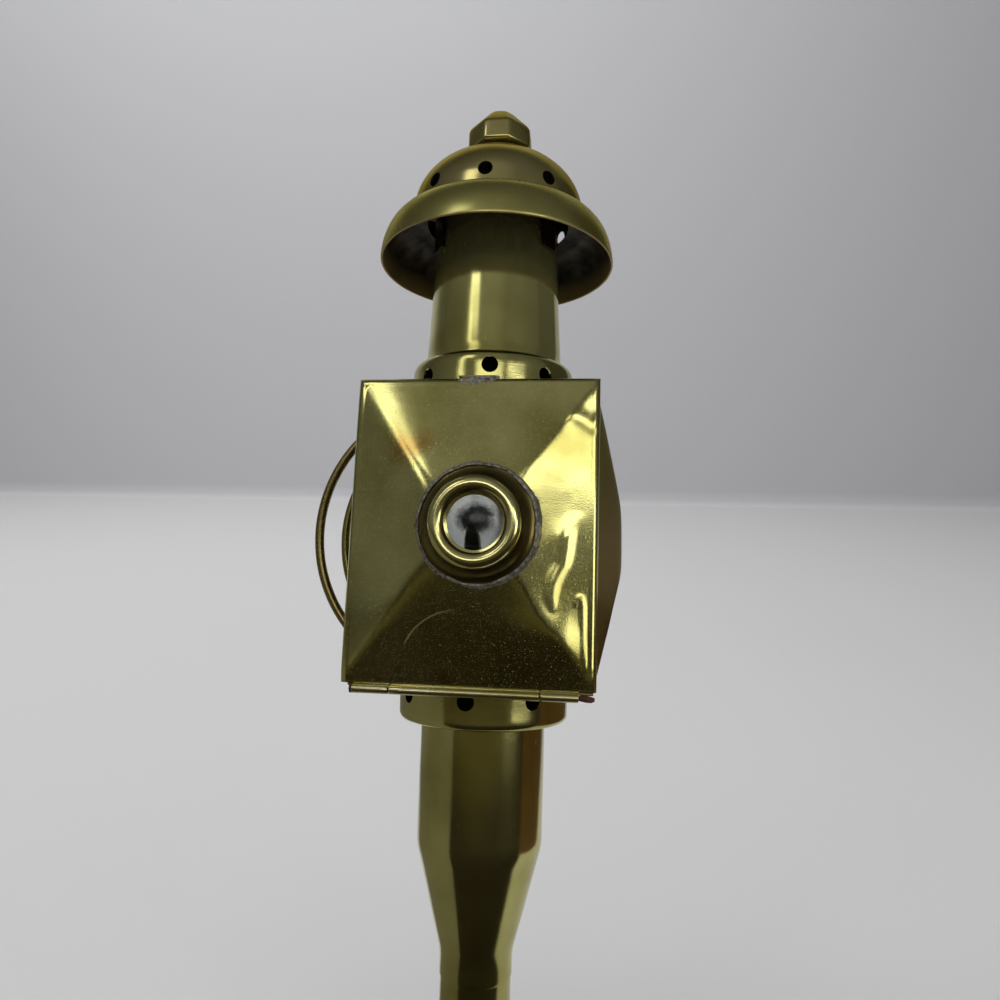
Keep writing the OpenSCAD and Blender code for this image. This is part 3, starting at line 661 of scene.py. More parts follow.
def candle_wax(name):
    """Stearin wax: milky, soft-edged and slightly see-through, with a mottled smooth skin."""
    add, shader, place = new_finish(name)
    mottle = add("TexNoise", {"Vector": place, "Scale": per_mm(7), "Detail": 3.0})
    mix = {MIX_FACTOR: mottle, MIX_A: opaque(colours().wax), MIX_B: opaque(linear("#d8cba6"))}
    feed(shader, {
        "Base Color": add("Mix", mix, MIX_OUT, data_type="RGBA"),
        "Normal": add("Bump", {"Height": mottle, "Strength": 0.3, "Distance": 0.2 * MM}),
        "Roughness": 0.42,
        "Subsurface Weight": 0.25,
        "Subsurface Radius": (3 * MM, 2 * MM, 1 * MM),
        "IOR": 1.44,
    })


def make_finishes():
    """Make every finish of the lantern."""
    c = colours()
    # Pressed door: a clear mirror with three stains of soldering heat and one long scratch, which also paints
    # the highlight of a crease
    aged_brass(
        "polished_brass_door", c.brass, c.brass_deep, 0.12, speck=0.9, stain=0.06,
        spots=[
            (Vector((-23.3, -46, 182.2)) * MM, 8 * MM, 1.0),
            (Vector((-16.6, -46, 183.5)) * MM, 5 * MM, 0.8),
            (Vector((-6.7, -43, 107.5)) * MM, 7 * MM, 2.5),
        ],
        scratch_and_highlight_arcs=[(Vector((-2.4, 0, 109.8)) * MM, 20 * MM, Vector((-3, 0, 117)) * MM)],
    )
    # Drawn cups and tubes: a clear mirror with faint rings
    aged_brass("polished_brass_gallery", c.brass, c.brass_deep, 0.14, speck=0.3, rings=0.5, stain=0.2)
    # Bezel in a lighter brass, a painted sheen that makes it read brighter, and the collar behind it, dull
    # and brown, whose finish also paints shade on the bezel's seat by the glass
    aged_brass("polished_brass_bezel", linear("#e6da98"), c.brass, 0.16, speck=0.15)
    aged_brass("tarnished_brass_collar", linear("#8f8248"), linear("#5c5230"), 0.28, speck=0.1, stain=0.25)
    # Spun skirt: a soft sheen with clear spinning lines
    aged_brass(
        "satin_brass_spun", c.brass, c.brass_deep, 0.26, speck=0.15, rings=1.2, relief=0.2,
        edge=linear("#d2caa6"),
    )
    # Chimney: a mirror that goes dark with soot towards its top, soot that also paints the shade under the
    # cap
    aged_brass(
        "smoked_brass_chimney", c.brass, c.brass_deep, 0.14, speck=0.0, rings=0.6, stain=0.1,
        smoke_and_shade=(264 * MM, 300 * MM), relief=0.12, dust=0.1,
    )
    # Dome and finial: a warmer, duller brass
    aged_brass(
        "warm_brass_cap", c.brass_warm, c.brass_deep, 0.2, speck=0.1, rings=0.8, stain=0.1, relief=0.2,
        edge=linear("#c2b88c"),
    )
    # Case walls, never polished: a brown skin with a soft sheen
    aged_brass(
        "brown_brass_sheet", c.brass_brown, c.brass_deep, 0.34, speck=0.4, stain=0.25, edge=linear("#c4c2b6")
    )
    # Guard wires, olive and worn, and hinge rolls rubbed pale
    aged_brass("brass_wire", c.brass_deep, c.brass_brown, 0.24, speck=0.5, stain=0.2)
    aged_brass("worn_brass_roll", linear("#ddd3a4"), c.brass_deep, 0.28, speck=0.1, relief=0.06)
    # Inner brass, dark with soot and with painted shade of the lamp's inside, and the cap's inside, black
    # with soot and painted shade but lighter towards the rim, which is cleaner and also painted as lit
    aged_brass("smoked_brass_inside", linear("#5d5030"), linear("#2f281a"), 0.45, speck=0.3, stain=0.1)
    rim = low("cap_skirt")
    rough_metal(
        "sooted_brass_cap", linear("#4a4336"), linear("#12100e"), 0.5, 9.0, 0.05, metallic=0.6,
        bare_and_lit=(linear("#9a8550"), rim + 4 * MM, rim + 12 * MM),
    )
    # Grey lumpy solder, brown flaky iron, grey drawn wire and black brittle cotton
    rough_metal("old_tin_solder", c.solder, linear("#403c33"), 0.45, 1.3, 0.25, metallic=0.5)
    rough_metal("rusted_iron", c.rust, linear("#2a1a14"), 0.75, 1.2, 0.2, metallic=0.3)
    rough_metal("spring_steel", linear("#9b9a98"), linear("#5b5754"), 0.35, 4.0, 0.02)
    rough_metal("charred_cotton", linear("#3a332c"), linear("#0d0b0a"), 0.95, 0.5, 0.2, metallic=0.0)
    # Ground lens, frosted, with the shade of the candle behind it painted on, and clear window panes
    clear_glass("crown_glass_lens", 1.52, 0.17, 0.2, "#dcded9", smoke_and_shade=LENS)
    clear_glass("sheet_glass_window", 1.5, 0.0, 0.12, "#eef0ee")
    candle_wax("stearin_wax")


# Finishes of the pieces that keep their CAD mesh
KEPT_NODES = {
    "polished_brass_gallery": ("stem_tube", "end_cap"),
    # Inner and hidden parts in dark brass: soot, and painted shade of the lamp's inside
    "smoked_brass_inside": (
        "candle_tube", "nozzle_cap", "follower", "cap_straps", "strap_rivets", "finial_nut",
        "left_glass_clips", "front_glass_clips", "lens_retainer",
    ),
    "sheet_glass_window": ("left_glass", "front_glass"),
}


class LANTERN_OT_finishes(bpy.types.Operator):
    """Make the finishes and give the plain pieces theirs"""

    bl_idname = "lantern.finishes"
    bl_label = "Finishes"

    def execute(self, context):
        make_finishes()
        for finish, nodes in KEPT_NODES.items():
            for node in nodes:
                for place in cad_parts[node].material_slots:
                    place.material = bpy.data.materials[finish]
        return {"FINISHED"}


class LANTERN_OT_stem(bpy.types.Operator):
    """Turn the funnel with its barrel"""

    bl_idname = "lantern.stem"
    bl_label = "Stem"

    def execute(self, context):
        neck_r, barrel_r = reach("stem_tube") + 0.35 * MM, reach("stem_funnel")
        foot, top = low("stem_funnel"), high("stem_funnel")
        neck_top, barrel_z = foot + 8 * MM, foot + 45 * MM
        outline = eased([(neck_r, foot), (neck_r, neck_top), (barrel_r, barrel_z), (barrel_r, top)], 3 * MM)
        funnel = spun("turned_funnel", outline)
        walled(waved(funnel, 30 * MM, 0.25 * MM))
        finished(funnel, "polished_brass_gallery", "stem_funnel")
        return {"FINISHED"}


class LANTERN_OT_galleries(bpy.types.Operator):
    """Turn and drill the two perforated galleries"""

    bl_idname = "lantern.galleries"
    bl_label = "Galleries"

    def execute(self, context):
        s = sizes()
        wall = reach("lower_gallery")
        for name, node, mouth, end, corner, neighbour, vent_z, turn, drift in (
            ("drawn_lower_gallery", "lower_gallery", high, low, s.lower_round, "stem_funnel",
             FLOOR_Z - 5.2 * MM, -5, {0: (1, 0), 7: (-1, 0)}),
            ("drawn_upper_gallery", "upper_gallery", low, high, s.upper_round, "chimney",
             ROOF_Z + 8 * MM, 2, {0: (2.8, 0.7 * MM), 1: (-2.5, -0.9 * MM), 7: (0, -1.2 * MM)}),
        ):
            corners = [(wall, mouth(node)), (wall, end(node)), (reach(neighbour) - s.sheet, end(node))]
            gallery = spun(name, eased(corners, corner))
            walled(waved(gallery, 14 * MM, 0.3 * MM))
            vented(gallery, wall, vent_z, s.vent, turn, drift)
            finished(gallery, "polished_brass_gallery", node)
            # Inner faces: soot and painted shade
            lined(gallery, "smoked_brass_inside", faces_axis)
        return {"FINISHED"}


class LANTERN_OT_chimney(bpy.types.Operator):
    """Turn the tapered chimney with its flared foot"""

    bl_idname = "lantern.chimney"
    bl_label = "Chimney"

    def execute(self, context):
        foot_r, foot, top = reach("chimney"), low("chimney"), high("chimney")
        flare_h, flare = 3 * MM, 0.3 * MM
        corners = [(foot_r + flare, foot), (foot_r - flare, foot + flare_h), (sizes().chimney_top / 2, top)]
        chimney = spun("spun_chimney", eased(corners, 1.2 * MM))
        walled(waved(chimney, 40 * MM, 0.25 * MM))
        finished(chimney, "smoked_brass_chimney", "chimney")
        # Inner faces: soot and painted shade
        lined(chimney, "smoked_brass_inside", faces_axis)
        return {"FINISHED"}


class LANTERN_OT_cap(bpy.types.Operator):
    """Turn the skirt and the dome, and cast the finial"""

    bl_idname = "lantern.cap"
    bl_label = "Cap"

    # Radius of the finial's foot on the dome
    FINIAL_FOOT = 8 * MM

    def execute(self, context):
        self.skirt()
        self.dome()
        self.finial()
        return {"FINISHED"}

    def skirt(self):
        """Turn the flared rim with the ledge that carries the dome."""
        s = sizes()
        rim, top = low("cap_skirt"), high("cap_skirt")
        outside = bow((s.crease, rim), reach("cap_skirt") - s.crease, top - rim, 0, 90)
        skirt = spun("spun_skirt", joined(outside, spaced((s.crease, top), (s.ledge, top))))
        walled(waved(skirt, 36 * MM, 0.3 * MM), edge=0.3 * MM)
        finished(skirt, "satin_brass_spun", "cap_skirt")
        # Faces under the cap: soot and painted shade
        lined(skirt, "sooted_brass_cap", lambda c, n: n.z < -0.05 or faces_axis(c, n))

    def dome(self):
        """Turn the dome and drill its vents."""
        s = sizes()
        foot, top, wall = low("cap_dome"), high("cap_dome"), reach("cap_dome")
        spring, bolt_r = foot + s.dome_wall, 2.6 * MM
        flat_turn = math.acos(self.FINIAL_FOOT / wall)
        rise = (top - spring) / math.sin(flat_turn)
        dome = spun("spun_dome", joined(
            spaced((wall, foot), (wall, spring)), bow((0, spring), wall, rise, 0, math.degrees(flat_turn)),
            spaced((self.FINIAL_FOOT, top), (bolt_r, top)),
        ))
        walled(waved(dome, 30 * MM, 0.25 * MM))
        drift = {0: (1.4, 0.2 * MM), 1: (-2, 0), 2: (-2, 0), 7: (9.5, 0.6 * MM)}
        vented(dome, wall, foot + 5.6 * MM, s.dome_vent, -3, drift)
        finished(dome, "warm_brass_cap", "cap_dome")
        # Faces under the dome: soot and painted shade
        lined(dome, "sooted_brass_cap", lambda c, n: n.z < -0.2 or faces_axis(c, n))

    def finial(self):
        """Cast the eight-sided knob on its round neck."""
        s = sizes()
        foot, tip = high("cap_dome"), high("finial")
        knob_z = foot + s.neck_h
        flare = bow((self.FINIAL_FOOT, knob_z), self.FINIAL_FOOT - s.neck / 2, s.neck_h, 270, 180)
        neck = spun("finial_neck", [*flare, (s.neck / 2, knob_z + 1 * MM)], steps=64)
        knob = begin(
            bpy.ops.mesh.primitive_cylinder_add, "knob", vertices=8, radius=s.knob / 2, depth=s.knob_h,
            location=(0, 0, knob_z + s.knob_h / 2), rotation=(0, 0, math.pi / 8),
        )
        edit()
        # Three steps up to the crown and one down to the neck: side, share left of the face, and rise
        shoulder = tip - 1.6 * MM - knob_z - s.knob_h
        for side, share, rise in (
            (1, 0.45, shoulder), (1, 0.55, 1.3 * MM), (1, 0.4, 0.3 * MM), (-1, 0.62, 0.9 * MM),
        ):
            pick("FACE", lambda f: f.normal.z * side > 0.9)
            pull((0, 0, rise * side))
            bpy.ops.transform.resize(value=(share, share, 1), center_override=(0, 0, 0))
        leave()
        broken(knob, 1.1 * MM, segments=4, sharp=20)
        finished(fused("cast_finial", [knob, neck]), "warm_brass_cap", "finial")


def press_share(x, z, half_w, half_h):
    """How far up the pressed pyramid a point of the sheet lies, from 0 at the margin to 1 on the flat.

    The creases are softest towards the upper left corner.
    """
    s = sizes()
    runs = [1.0]
    for place, half in ((x, half_w), (z, half_h)):
        slope = half - s.press_margin - s.press_flat / 2
        runs += [(half - s.press_margin - place) / slope, (half - s.press_margin + place) / slope]
    corner = 0.7 + 0.52 * (1 - x / half_w) * (1 + z / half_h)
    soft = s.crease_soft * corner / (half_w - s.press_flat / 2)
    total = sum(math.exp(-run / soft * 2) for run in runs)
    return clamped(-math.log(total) * soft / 2)


def off_path(place, path):
    """Distance of a place on the sheet from a bent line of places."""
    gaps = []
    for start, end in zip(path, path[1:]):
        start, end = Vector(start), Vector(end)
        share = (place - start).dot(end - start) / (end - start).length_squared
        gaps.append((place - start.lerp(end, clamped(share))).length)
    return min(gaps)


def pressed_sheet(name, centre, width, height, fold=0.0):
    """A fine grid facing -Y with a soft-creased pyramid pressed out of it, less the folds at three edges."""
    s = sizes()
    flat_w, flat_h = width - 2 * fold, height - fold
    sheet = begin(
        bpy.ops.mesh.primitive_grid_add, name, (flat_w, flat_h, 1), size=1, rotation=(math.pi / 2, 0, 0),
        location=(centre[0], centre[1], centre[2] - fold / 2),
        x_subdivisions=round(flat_w / s.grid), y_subdivisions=round(flat_h / s.grid),
    )
    return pushed(
        sheet, "press", lambda p: press_share(p.x, p.z - centre[2], width / 2, height / 2), "Y", -s.press_rise
    )


class LANTERN_OT_door(bpy.types.Operator):
    """Press, dent and fold the door"""

    bl_idname = "lantern.door"
    bl_label = "Door"

    # Marks of hard use on the right slope, as paths of (x, height above the lower edge) in millimetres
    LONG_CREASE = (
        (33.5, 56), (32, 52.5), (31, 49), (30.6, 44), (29.8, 40), (28.2, 37), (26.8, 34), (26.2, 30),
        (26.6, 26),
    )
    HOOKED_CREASE = ((34.2, 27.6), (34.8, 29.6), (35.6, 29.8), (36.2, 27), (36.4, 17.5), (37.4, 7.5))
    BUMP = ((22.8, 16.4), (23.2, 16.2))
    CORNER_CREASE = ((32, 89), (36, 87), (42, 83))
    # Each mark with its width, its share of the depth and the height where it has faded out
    MARKS = (
        (LONG_CREASE, 2.2, 0.36, 57), (HOOKED_CREASE, 1.0, 0.16, 40), (BUMP, 8.8, 1.0, 60),
        (CORNER_CREASE, 2.6, 0.24, 110),
    )
    MARK_DEPTH, MARK_FADE = 1.2 * MM, 8
    # How far the rim stands off the case, and how far the lower left corner was bent out
    RIM_GAP, FLARE = 1.0 * MM, 1.6 * MM

    def execute(self, context):
        s = sizes()
        rim_y = -(WALL + self.RIM_GAP)
        low_z, high_z = DOOR_HIGH.z - DOOR_HEIGHT, DOOR_HIGH.z
        width = DOOR_HIGH.x - DOOR_LOW.x
        half, tall = width / 2 - s.fold, DOOR_HEIGHT - s.fold
        door = pressed_sheet("pressed_door", (0, rim_y, (low_z + high_z) / 2), width, DOOR_HEIGHT, s.fold)

        def marked(p):
            place = Vector((p.x, p.z - low_z)) / MM
            depths = []
            for path, wide, share, top in self.MARKS:
                fade = clamped((top - place.y) / self.MARK_FADE)
                depths.append(share * fade * math.exp(-(off_path(place, path) / wide) ** 2))
            return max(depths)

        # Waves of the worked sheet, strongest on the right and none along the edges
        def softness(p):
            edge = min(half - abs(p.x), p.z - low_z, high_z - s.fold - p.z)
            rightness = clamped((p.x - 6 * MM) / (24 * MM))
            return clamped(edge / (7 * MM)) * (0.14 + 0.5 * rightness)

        def flared(p):
            return max(0.0, -2 * p.x / width) * (high_z - p.z) / DOOR_HEIGHT

        pushed(door, "marks", marked, "Y", -self.MARK_DEPTH)
        weighed(door, "soft", softness)
        waved(door, s.dent_size, s.dent_depth, "soft")
        waved(door, s.dent_size / 2.5, s.dent_depth / 6, "soft")
        pushed(door, "flare", flared, "X", -self.FLARE)

        # Folded lips at the sides and the top: a quarter round, then straight back
        edit()
        side, top = half - 10 * MERGE, high_z - s.fold - 10 * MERGE
        pick("EDGE", lambda e: e.is_boundary and all(abs(v.co.x) > side or v.co.z > top for v in e.verts))
        steps = 6
        turns = [math.pi / 2 * i / steps for i in range(steps + 1)]
        for here, there in zip(turns, turns[1:]):
            pull((0, s.fold * (math.cos(here) - math.cos(there)), 0))
            out, further = s.fold * math.sin(here), s.fold * math.sin(there)
            grow = ((half + further) / (half + out), 1, (tall + further) / (tall + out))
            bpy.ops.transform.resize(value=grow, center_override=(0, 0, low_z))
        pull((0, s.door_lip + s.sheet - s.fold, 0))
        leave()
        walled(door)
        hole = s.collar_neck - 2 * s.collar_wall
        drilled(door, [((LENS.x, rim_y - s.press_rise, LENS.z), (0, 1, 0), hole, 3 * s.press_rise)])
        finished(door, "polished_brass_door", "door_panel", body="door")
        # Inner face: soot and painted shade
        lined(door, "smoked_brass_inside", lambda c, n: n.y > 0.5)
        return {"FINISHED"}


class LANTERN_OT_lens(bpy.types.Operator):
    """Turn the collar, the bezel and the bull's-eye, and run solder round the collar's foot"""

    bl_idname = "lantern.lens"
    bl_label = "Lens"

    # The collar was soldered on a little out of true: its foot lies to the left of the lens and above it
    LEAN_X, LEAN_Z = -0.8 * MM, 0.4 * MM

    def execute(self, context):
        collar_low, collar_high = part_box("lens_collar")
        foot_r, foot_h, neck_h = half_width("lens_collar"), -collar_high.y, -collar_low.y
        self.collar(foot_r, foot_h, neck_h)
        self.bezel()
        self.glass()
        self.solder(foot_r, foot_h)
        return {"FINISHED"}

    def collar(self, foot_r, foot_h, neck_h):
        """Spin the flared collar and lean its foot."""
        s = sizes()
        outline = bow((foot_r, neck_h), foot_r - s.collar_neck / 2, neck_h - foot_h, 270, 180)
        collar = spun("spun_collar", outline, on_lens=True)
        for way, lean in (("X", self.LEAN_X), ("Z", self.LEAN_Z)):
            pushed(collar, "foot_" + way, lambda p: clamped((neck_h + p.y) / (neck_h - foot_h)), way, lean)
        walled(collar, s.collar_wall)
        finished(collar, "tarnished_brass_collar", "lens_collar", body="door")

    def bezel(self):
        """Roll the bezel and set the dull seat of the lens into it, darkened in the collar's finish as
        painted shade.
        """
        s = sizes()
        outer_r, front_h, roll = half_width("lens_bezel"), -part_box("lens_bezel")[0].y, s.bezel_roll / 2
        mid_r = outer_r - roll
        ring = spun("rolled_bezel", bow((mid_r, front_h - roll), roll, roll, 0, 360, 40), on_lens=True)
        seat_r, seat_h = outer_r - s.bezel_roll - 0.85 * MM, front_h - s.bezel_roll + 0.9 * MM
        seat = spun("lens_seat", [
            (mid_r, seat_h), (seat_r, seat_h + 0.1 * MM), (seat_r, seat_h + 0.35 * MM),
            (mid_r, seat_h + 1.6 * MM), (mid_r, seat_h),
        ], on_lens=True)
        bezel = fused("rolled_bezel", [ring, seat])
        finished(bezel, "polished_brass_bezel", "lens_bezel", body="door")
        # The seat by the glass in the collar's darker finish: painted shade of the recess
        dull_shaded_r = outer_r - 4.2 * MM
        lined(bezel, "tarnished_brass_collar", lambda c, n: math.hypot(c.x - LENS.x, c.z - LENS.z) < dull_shaded_r)

    def glass(self):
        """Grind the lens: a flat back, a plain edge and a round crown."""
        s = sizes()
        lens_low, lens_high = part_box("bullseye_lens")
        lens_r, back_h, crown_h = half_width("bullseye_lens"), -lens_high.y, -lens_low.y
        edge_h = back_h + s.lens_edge
        crown_r = half_width("lens_bezel") - s.bezel_roll - 0.2 * MM
        ball = (crown_r ** 2 + (crown_h - edge_h) ** 2) / (2 * (crown_h - edge_h))
        crown = bow((0, crown_h - ball), ball, ball, 90 - math.degrees(math.asin(crown_r / ball)), 90)
        lens = spun("ground_lens", joined(
            [(0, back_h), (lens_r, back_h), (lens_r, edge_h), (crown_r, edge_h)], crown
        ), on_lens=True)
        finished(lens, "crown_glass_lens", "bullseye_lens", body="door", slot="lens_glass")

    def solder(self, foot_r, foot_h):
        """Run a ragged bead of solder from the collar's foot down to the door."""
        toe, rise = 1.1 * MM, 0.7 * MM
        outline = [
            (foot_r - 0.5 * MM, foot_h + rise), (foot_r + 0.1 * MM, foot_h + rise),
            (foot_r + 0.5 * MM, foot_h + rise * 0.8), (foot_r + 0.9 * MM, foot_h + rise * 0.3),
            (foot_r + toe, foot_h - 0.3 * MM),
        ]
        run = spun("solder_run", outline, on_lens=True)
        run.location = (self.LEAN_X, 0, self.LEAN_Z)
        settle(run)
        for size, depth, way in ((12, 2.2, "X"), (12, 2.2, "Z"), (3, 0.4, "NORMAL"), (1.2, 0.25, "NORMAL")):
            waved(run, size * MM, depth * MM, way=way)

        def sinks(p):
            out = math.hypot(p.x - LENS.x - self.LEAN_X, p.z - LENS.z - self.LEAN_Z) - foot_r
            return clamped((out - 0.3 * MM) / (toe - 0.5 * MM))

        weighed(run, "toe", sinks)
        modify(
            run, "SHRINKWRAP", target=bpy.data.objects["pressed_door"], wrap_method="PROJECT",
            use_project_y=True, use_positive_direction=True, use_negative_direction=True, vertex_group="toe",
        )
        modify(run, "SOLIDIFY", thickness=0.5 * MM, offset=-1)
        finished(run, "old_tin_solder", "collar_solder", body="door", slot="solder")


class LANTERN_OT_case(bpy.types.Operator):
    """Make the blind side, the window frames, the roof and the floor"""

    bl_idname = "lantern.case"
    bl_label = "Case"

    def execute(self, context):
        s = sizes()
        height = high("blind_side") - low("blind_side")
        centre = (0, -WALL, middle("blind_side").z)
        blind = pressed_sheet("pressed_blind_side", centre, 2 * WALL, height)
        walled(waved(blind, s.dent_size, s.dent_depth / 3))
        left = self.frame_sheet("cut_left_frame", centre, 2 * WALL, height)
        front = self.frame_sheet("cut_front_frame", centre, 2 * (WALL - s.sheet), height)
        for wall, node, turn in (
            (blind, "blind_side", BLIND_SIDE), (left, "left_frame", LEFT_SIDE),
            (front, "front_frame", FRONT_SIDE),
        ):
            wall.rotation_euler.z = turn
            finished(wall, "brown_brass_sheet", node)
        self.plate("cut_roof", "case_roof", [(0, 0, 2 * (reach("chimney") - s.sheet))])
        tube_r = reach("candle_tube") + 0.05 * MM
        ring_r = (tube_r + reach("lower_gallery") - s.sheet) / 2
        turns = [math.pi * 2 * (i + 0.5) / s.vent_count for i in range(s.vent_count)]
        holes = [(ring_r * math.cos(t), ring_r * math.sin(t), 6 * MM) for t in turns]
        self.plate("cut_floor", "case_floor", [(0, 0, 2 * tube_r), *holes])
        return {"FINISHED"}

    def frame_sheet(self, name, centre, width, height):
        """A flat wall with a window whose edge is raised in a narrow bead."""
        s = sizes()
        sheet = begin(
            bpy.ops.mesh.primitive_plane_add, name, (width, height, 1), size=1, rotation=(math.pi / 2, 0, 0),
            location=centre,
        )
        bead, bead_h, border, steps = 2.5 * MM, 0.8 * MM, 1 * MM, 8
        edit()
        bpy.ops.mesh.inset(thickness=border)
        opening = (
            (s.window_w + 2 * bead) / (width - 2 * border), 1, (s.window_h + 2 * bead) / (height - 2 * border)
        )
        bpy.ops.transform.resize(value=opening, center_override=centre)
        heights = [bead_h * math.sin(math.pi * i / steps) for i in range(steps + 1)]
        bpy.ops.mesh.select_mode(type="FACE")
        for here, there in zip(heights, heights[1:]):
            bpy.ops.mesh.inset(thickness=bead / steps)
            bpy.ops.transform.translate(value=(0, here - there, 0))
        bpy.ops.mesh.delete(type="FACE")
        leave()
        return modify(sheet, "SOLIDIFY", thickness=s.sheet, offset=-1)

    def plate(self, name, node, holes):
        """A flat plate with round holes, each given by its place and diameter, as large as its CAD node."""
        low_corner, high_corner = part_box(node)
        plate = begin(
            bpy.ops.mesh.primitive_cube_add, name, high_corner - low_corner, size=1, location=middle(node)
        )
        edit()
        bpy.ops.mesh.bevel(offset=0.25 * MM, segments=2, affect="EDGES")
        leave()
        drilled(plate, [((x, y, middle(node).z), (0, 0, 1), d, 8 * MM) for x, y, d in holes])
        finished(plate, "brown_brass_sheet", node)


class LANTERN_OT_guards(bpy.types.Operator):
    """Bend the guard wires and solder their feet"""

    bl_idname = "lantern.guards"
    bl_label = "Guards"

    def execute(self, context):
        s = sizes()
        rise = -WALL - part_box("left_guard")[0].x - s.wire / 2
        half_span = 41.5 * MM
        bend_r = (half_span ** 2 + rise ** 2) / (2 * rise)
        hub = Vector((bend_r - rise - WALL, -s.guard_pitch / 2, (FLOOR_Z + ROOF_Z) / 2))
        half_turn = math.acos((WALL + hub.x) / bend_r) + math.radians(3)
        wire = self.bent(hub, bend_r, half_turn)
        guard = fused("bent_left_guard", [wire, copied(wire, "wire", (0, s.guard_pitch, 0))])
        blob = self.blob((-WALL, hub.y, hub.z - half_span))
        blobs = [blob]
        for across, up in ((0, 2 * half_span), (s.guard_pitch, 0), (s.guard_pitch, 2 * half_span)):
            blobs.append(copied(blob, "blob", (0, across, up)))
        feet = fused("bent_left_guard_solder", blobs)
        front_guard = copied(guard, "bent_front_guard", turn=LEFT_SIDE)
        front_feet = copied(feet, "bent_front_guard_solder", turn=LEFT_SIDE)
        finished(guard, "brass_wire", "left_guard")
        finished(front_guard, "brass_wire", "front_guard")
        for piece in (feet, front_feet):
            finished(piece, "old_tin_solder", slot="solder")
        return {"FINISHED"}

    def flush(self):
        """Cut a piece flush with the left wall and close the cut."""
        edit()
        bpy.ops.mesh.bisect(plane_co=(-WALL, 0, 0), plane_no=(1, 0, 0), use_fill=True, clear_outer=True)
        leave()

    def bent(self, hub, bend_r, half_turn):
        """Bend one round wire about a hub."""
        wire = begin(
            bpy.ops.mesh.primitive_circle_add, "wire", vertices=WIRE_SIDES, radius=sizes().wire / 2,
            location=hub + Matrix.Rotation(half_turn, 4, "Y") @ Vector((-bend_r, 0, 0)),
            rotation=(0, half_turn, 0),
        )
        edit()
        bpy.ops.mesh.spin(steps=72, angle=2 * half_turn, center=hub, axis=(0, 1, 0))
        outward()
        self.flush()
        return wire

    def blob(self, place):
        """A flat lump of solder round the foot of a wire."""
        blob = begin(
            bpy.ops.mesh.primitive_uv_sphere_add, "blob", segments=28, ring_count=16, radius=sizes().wire,
            location=place, scale=(0.45, 1.0, 1.35),
        )
        waved(blob, 4 * MM, 0.9 * MM)
        self.flush()
        return blob


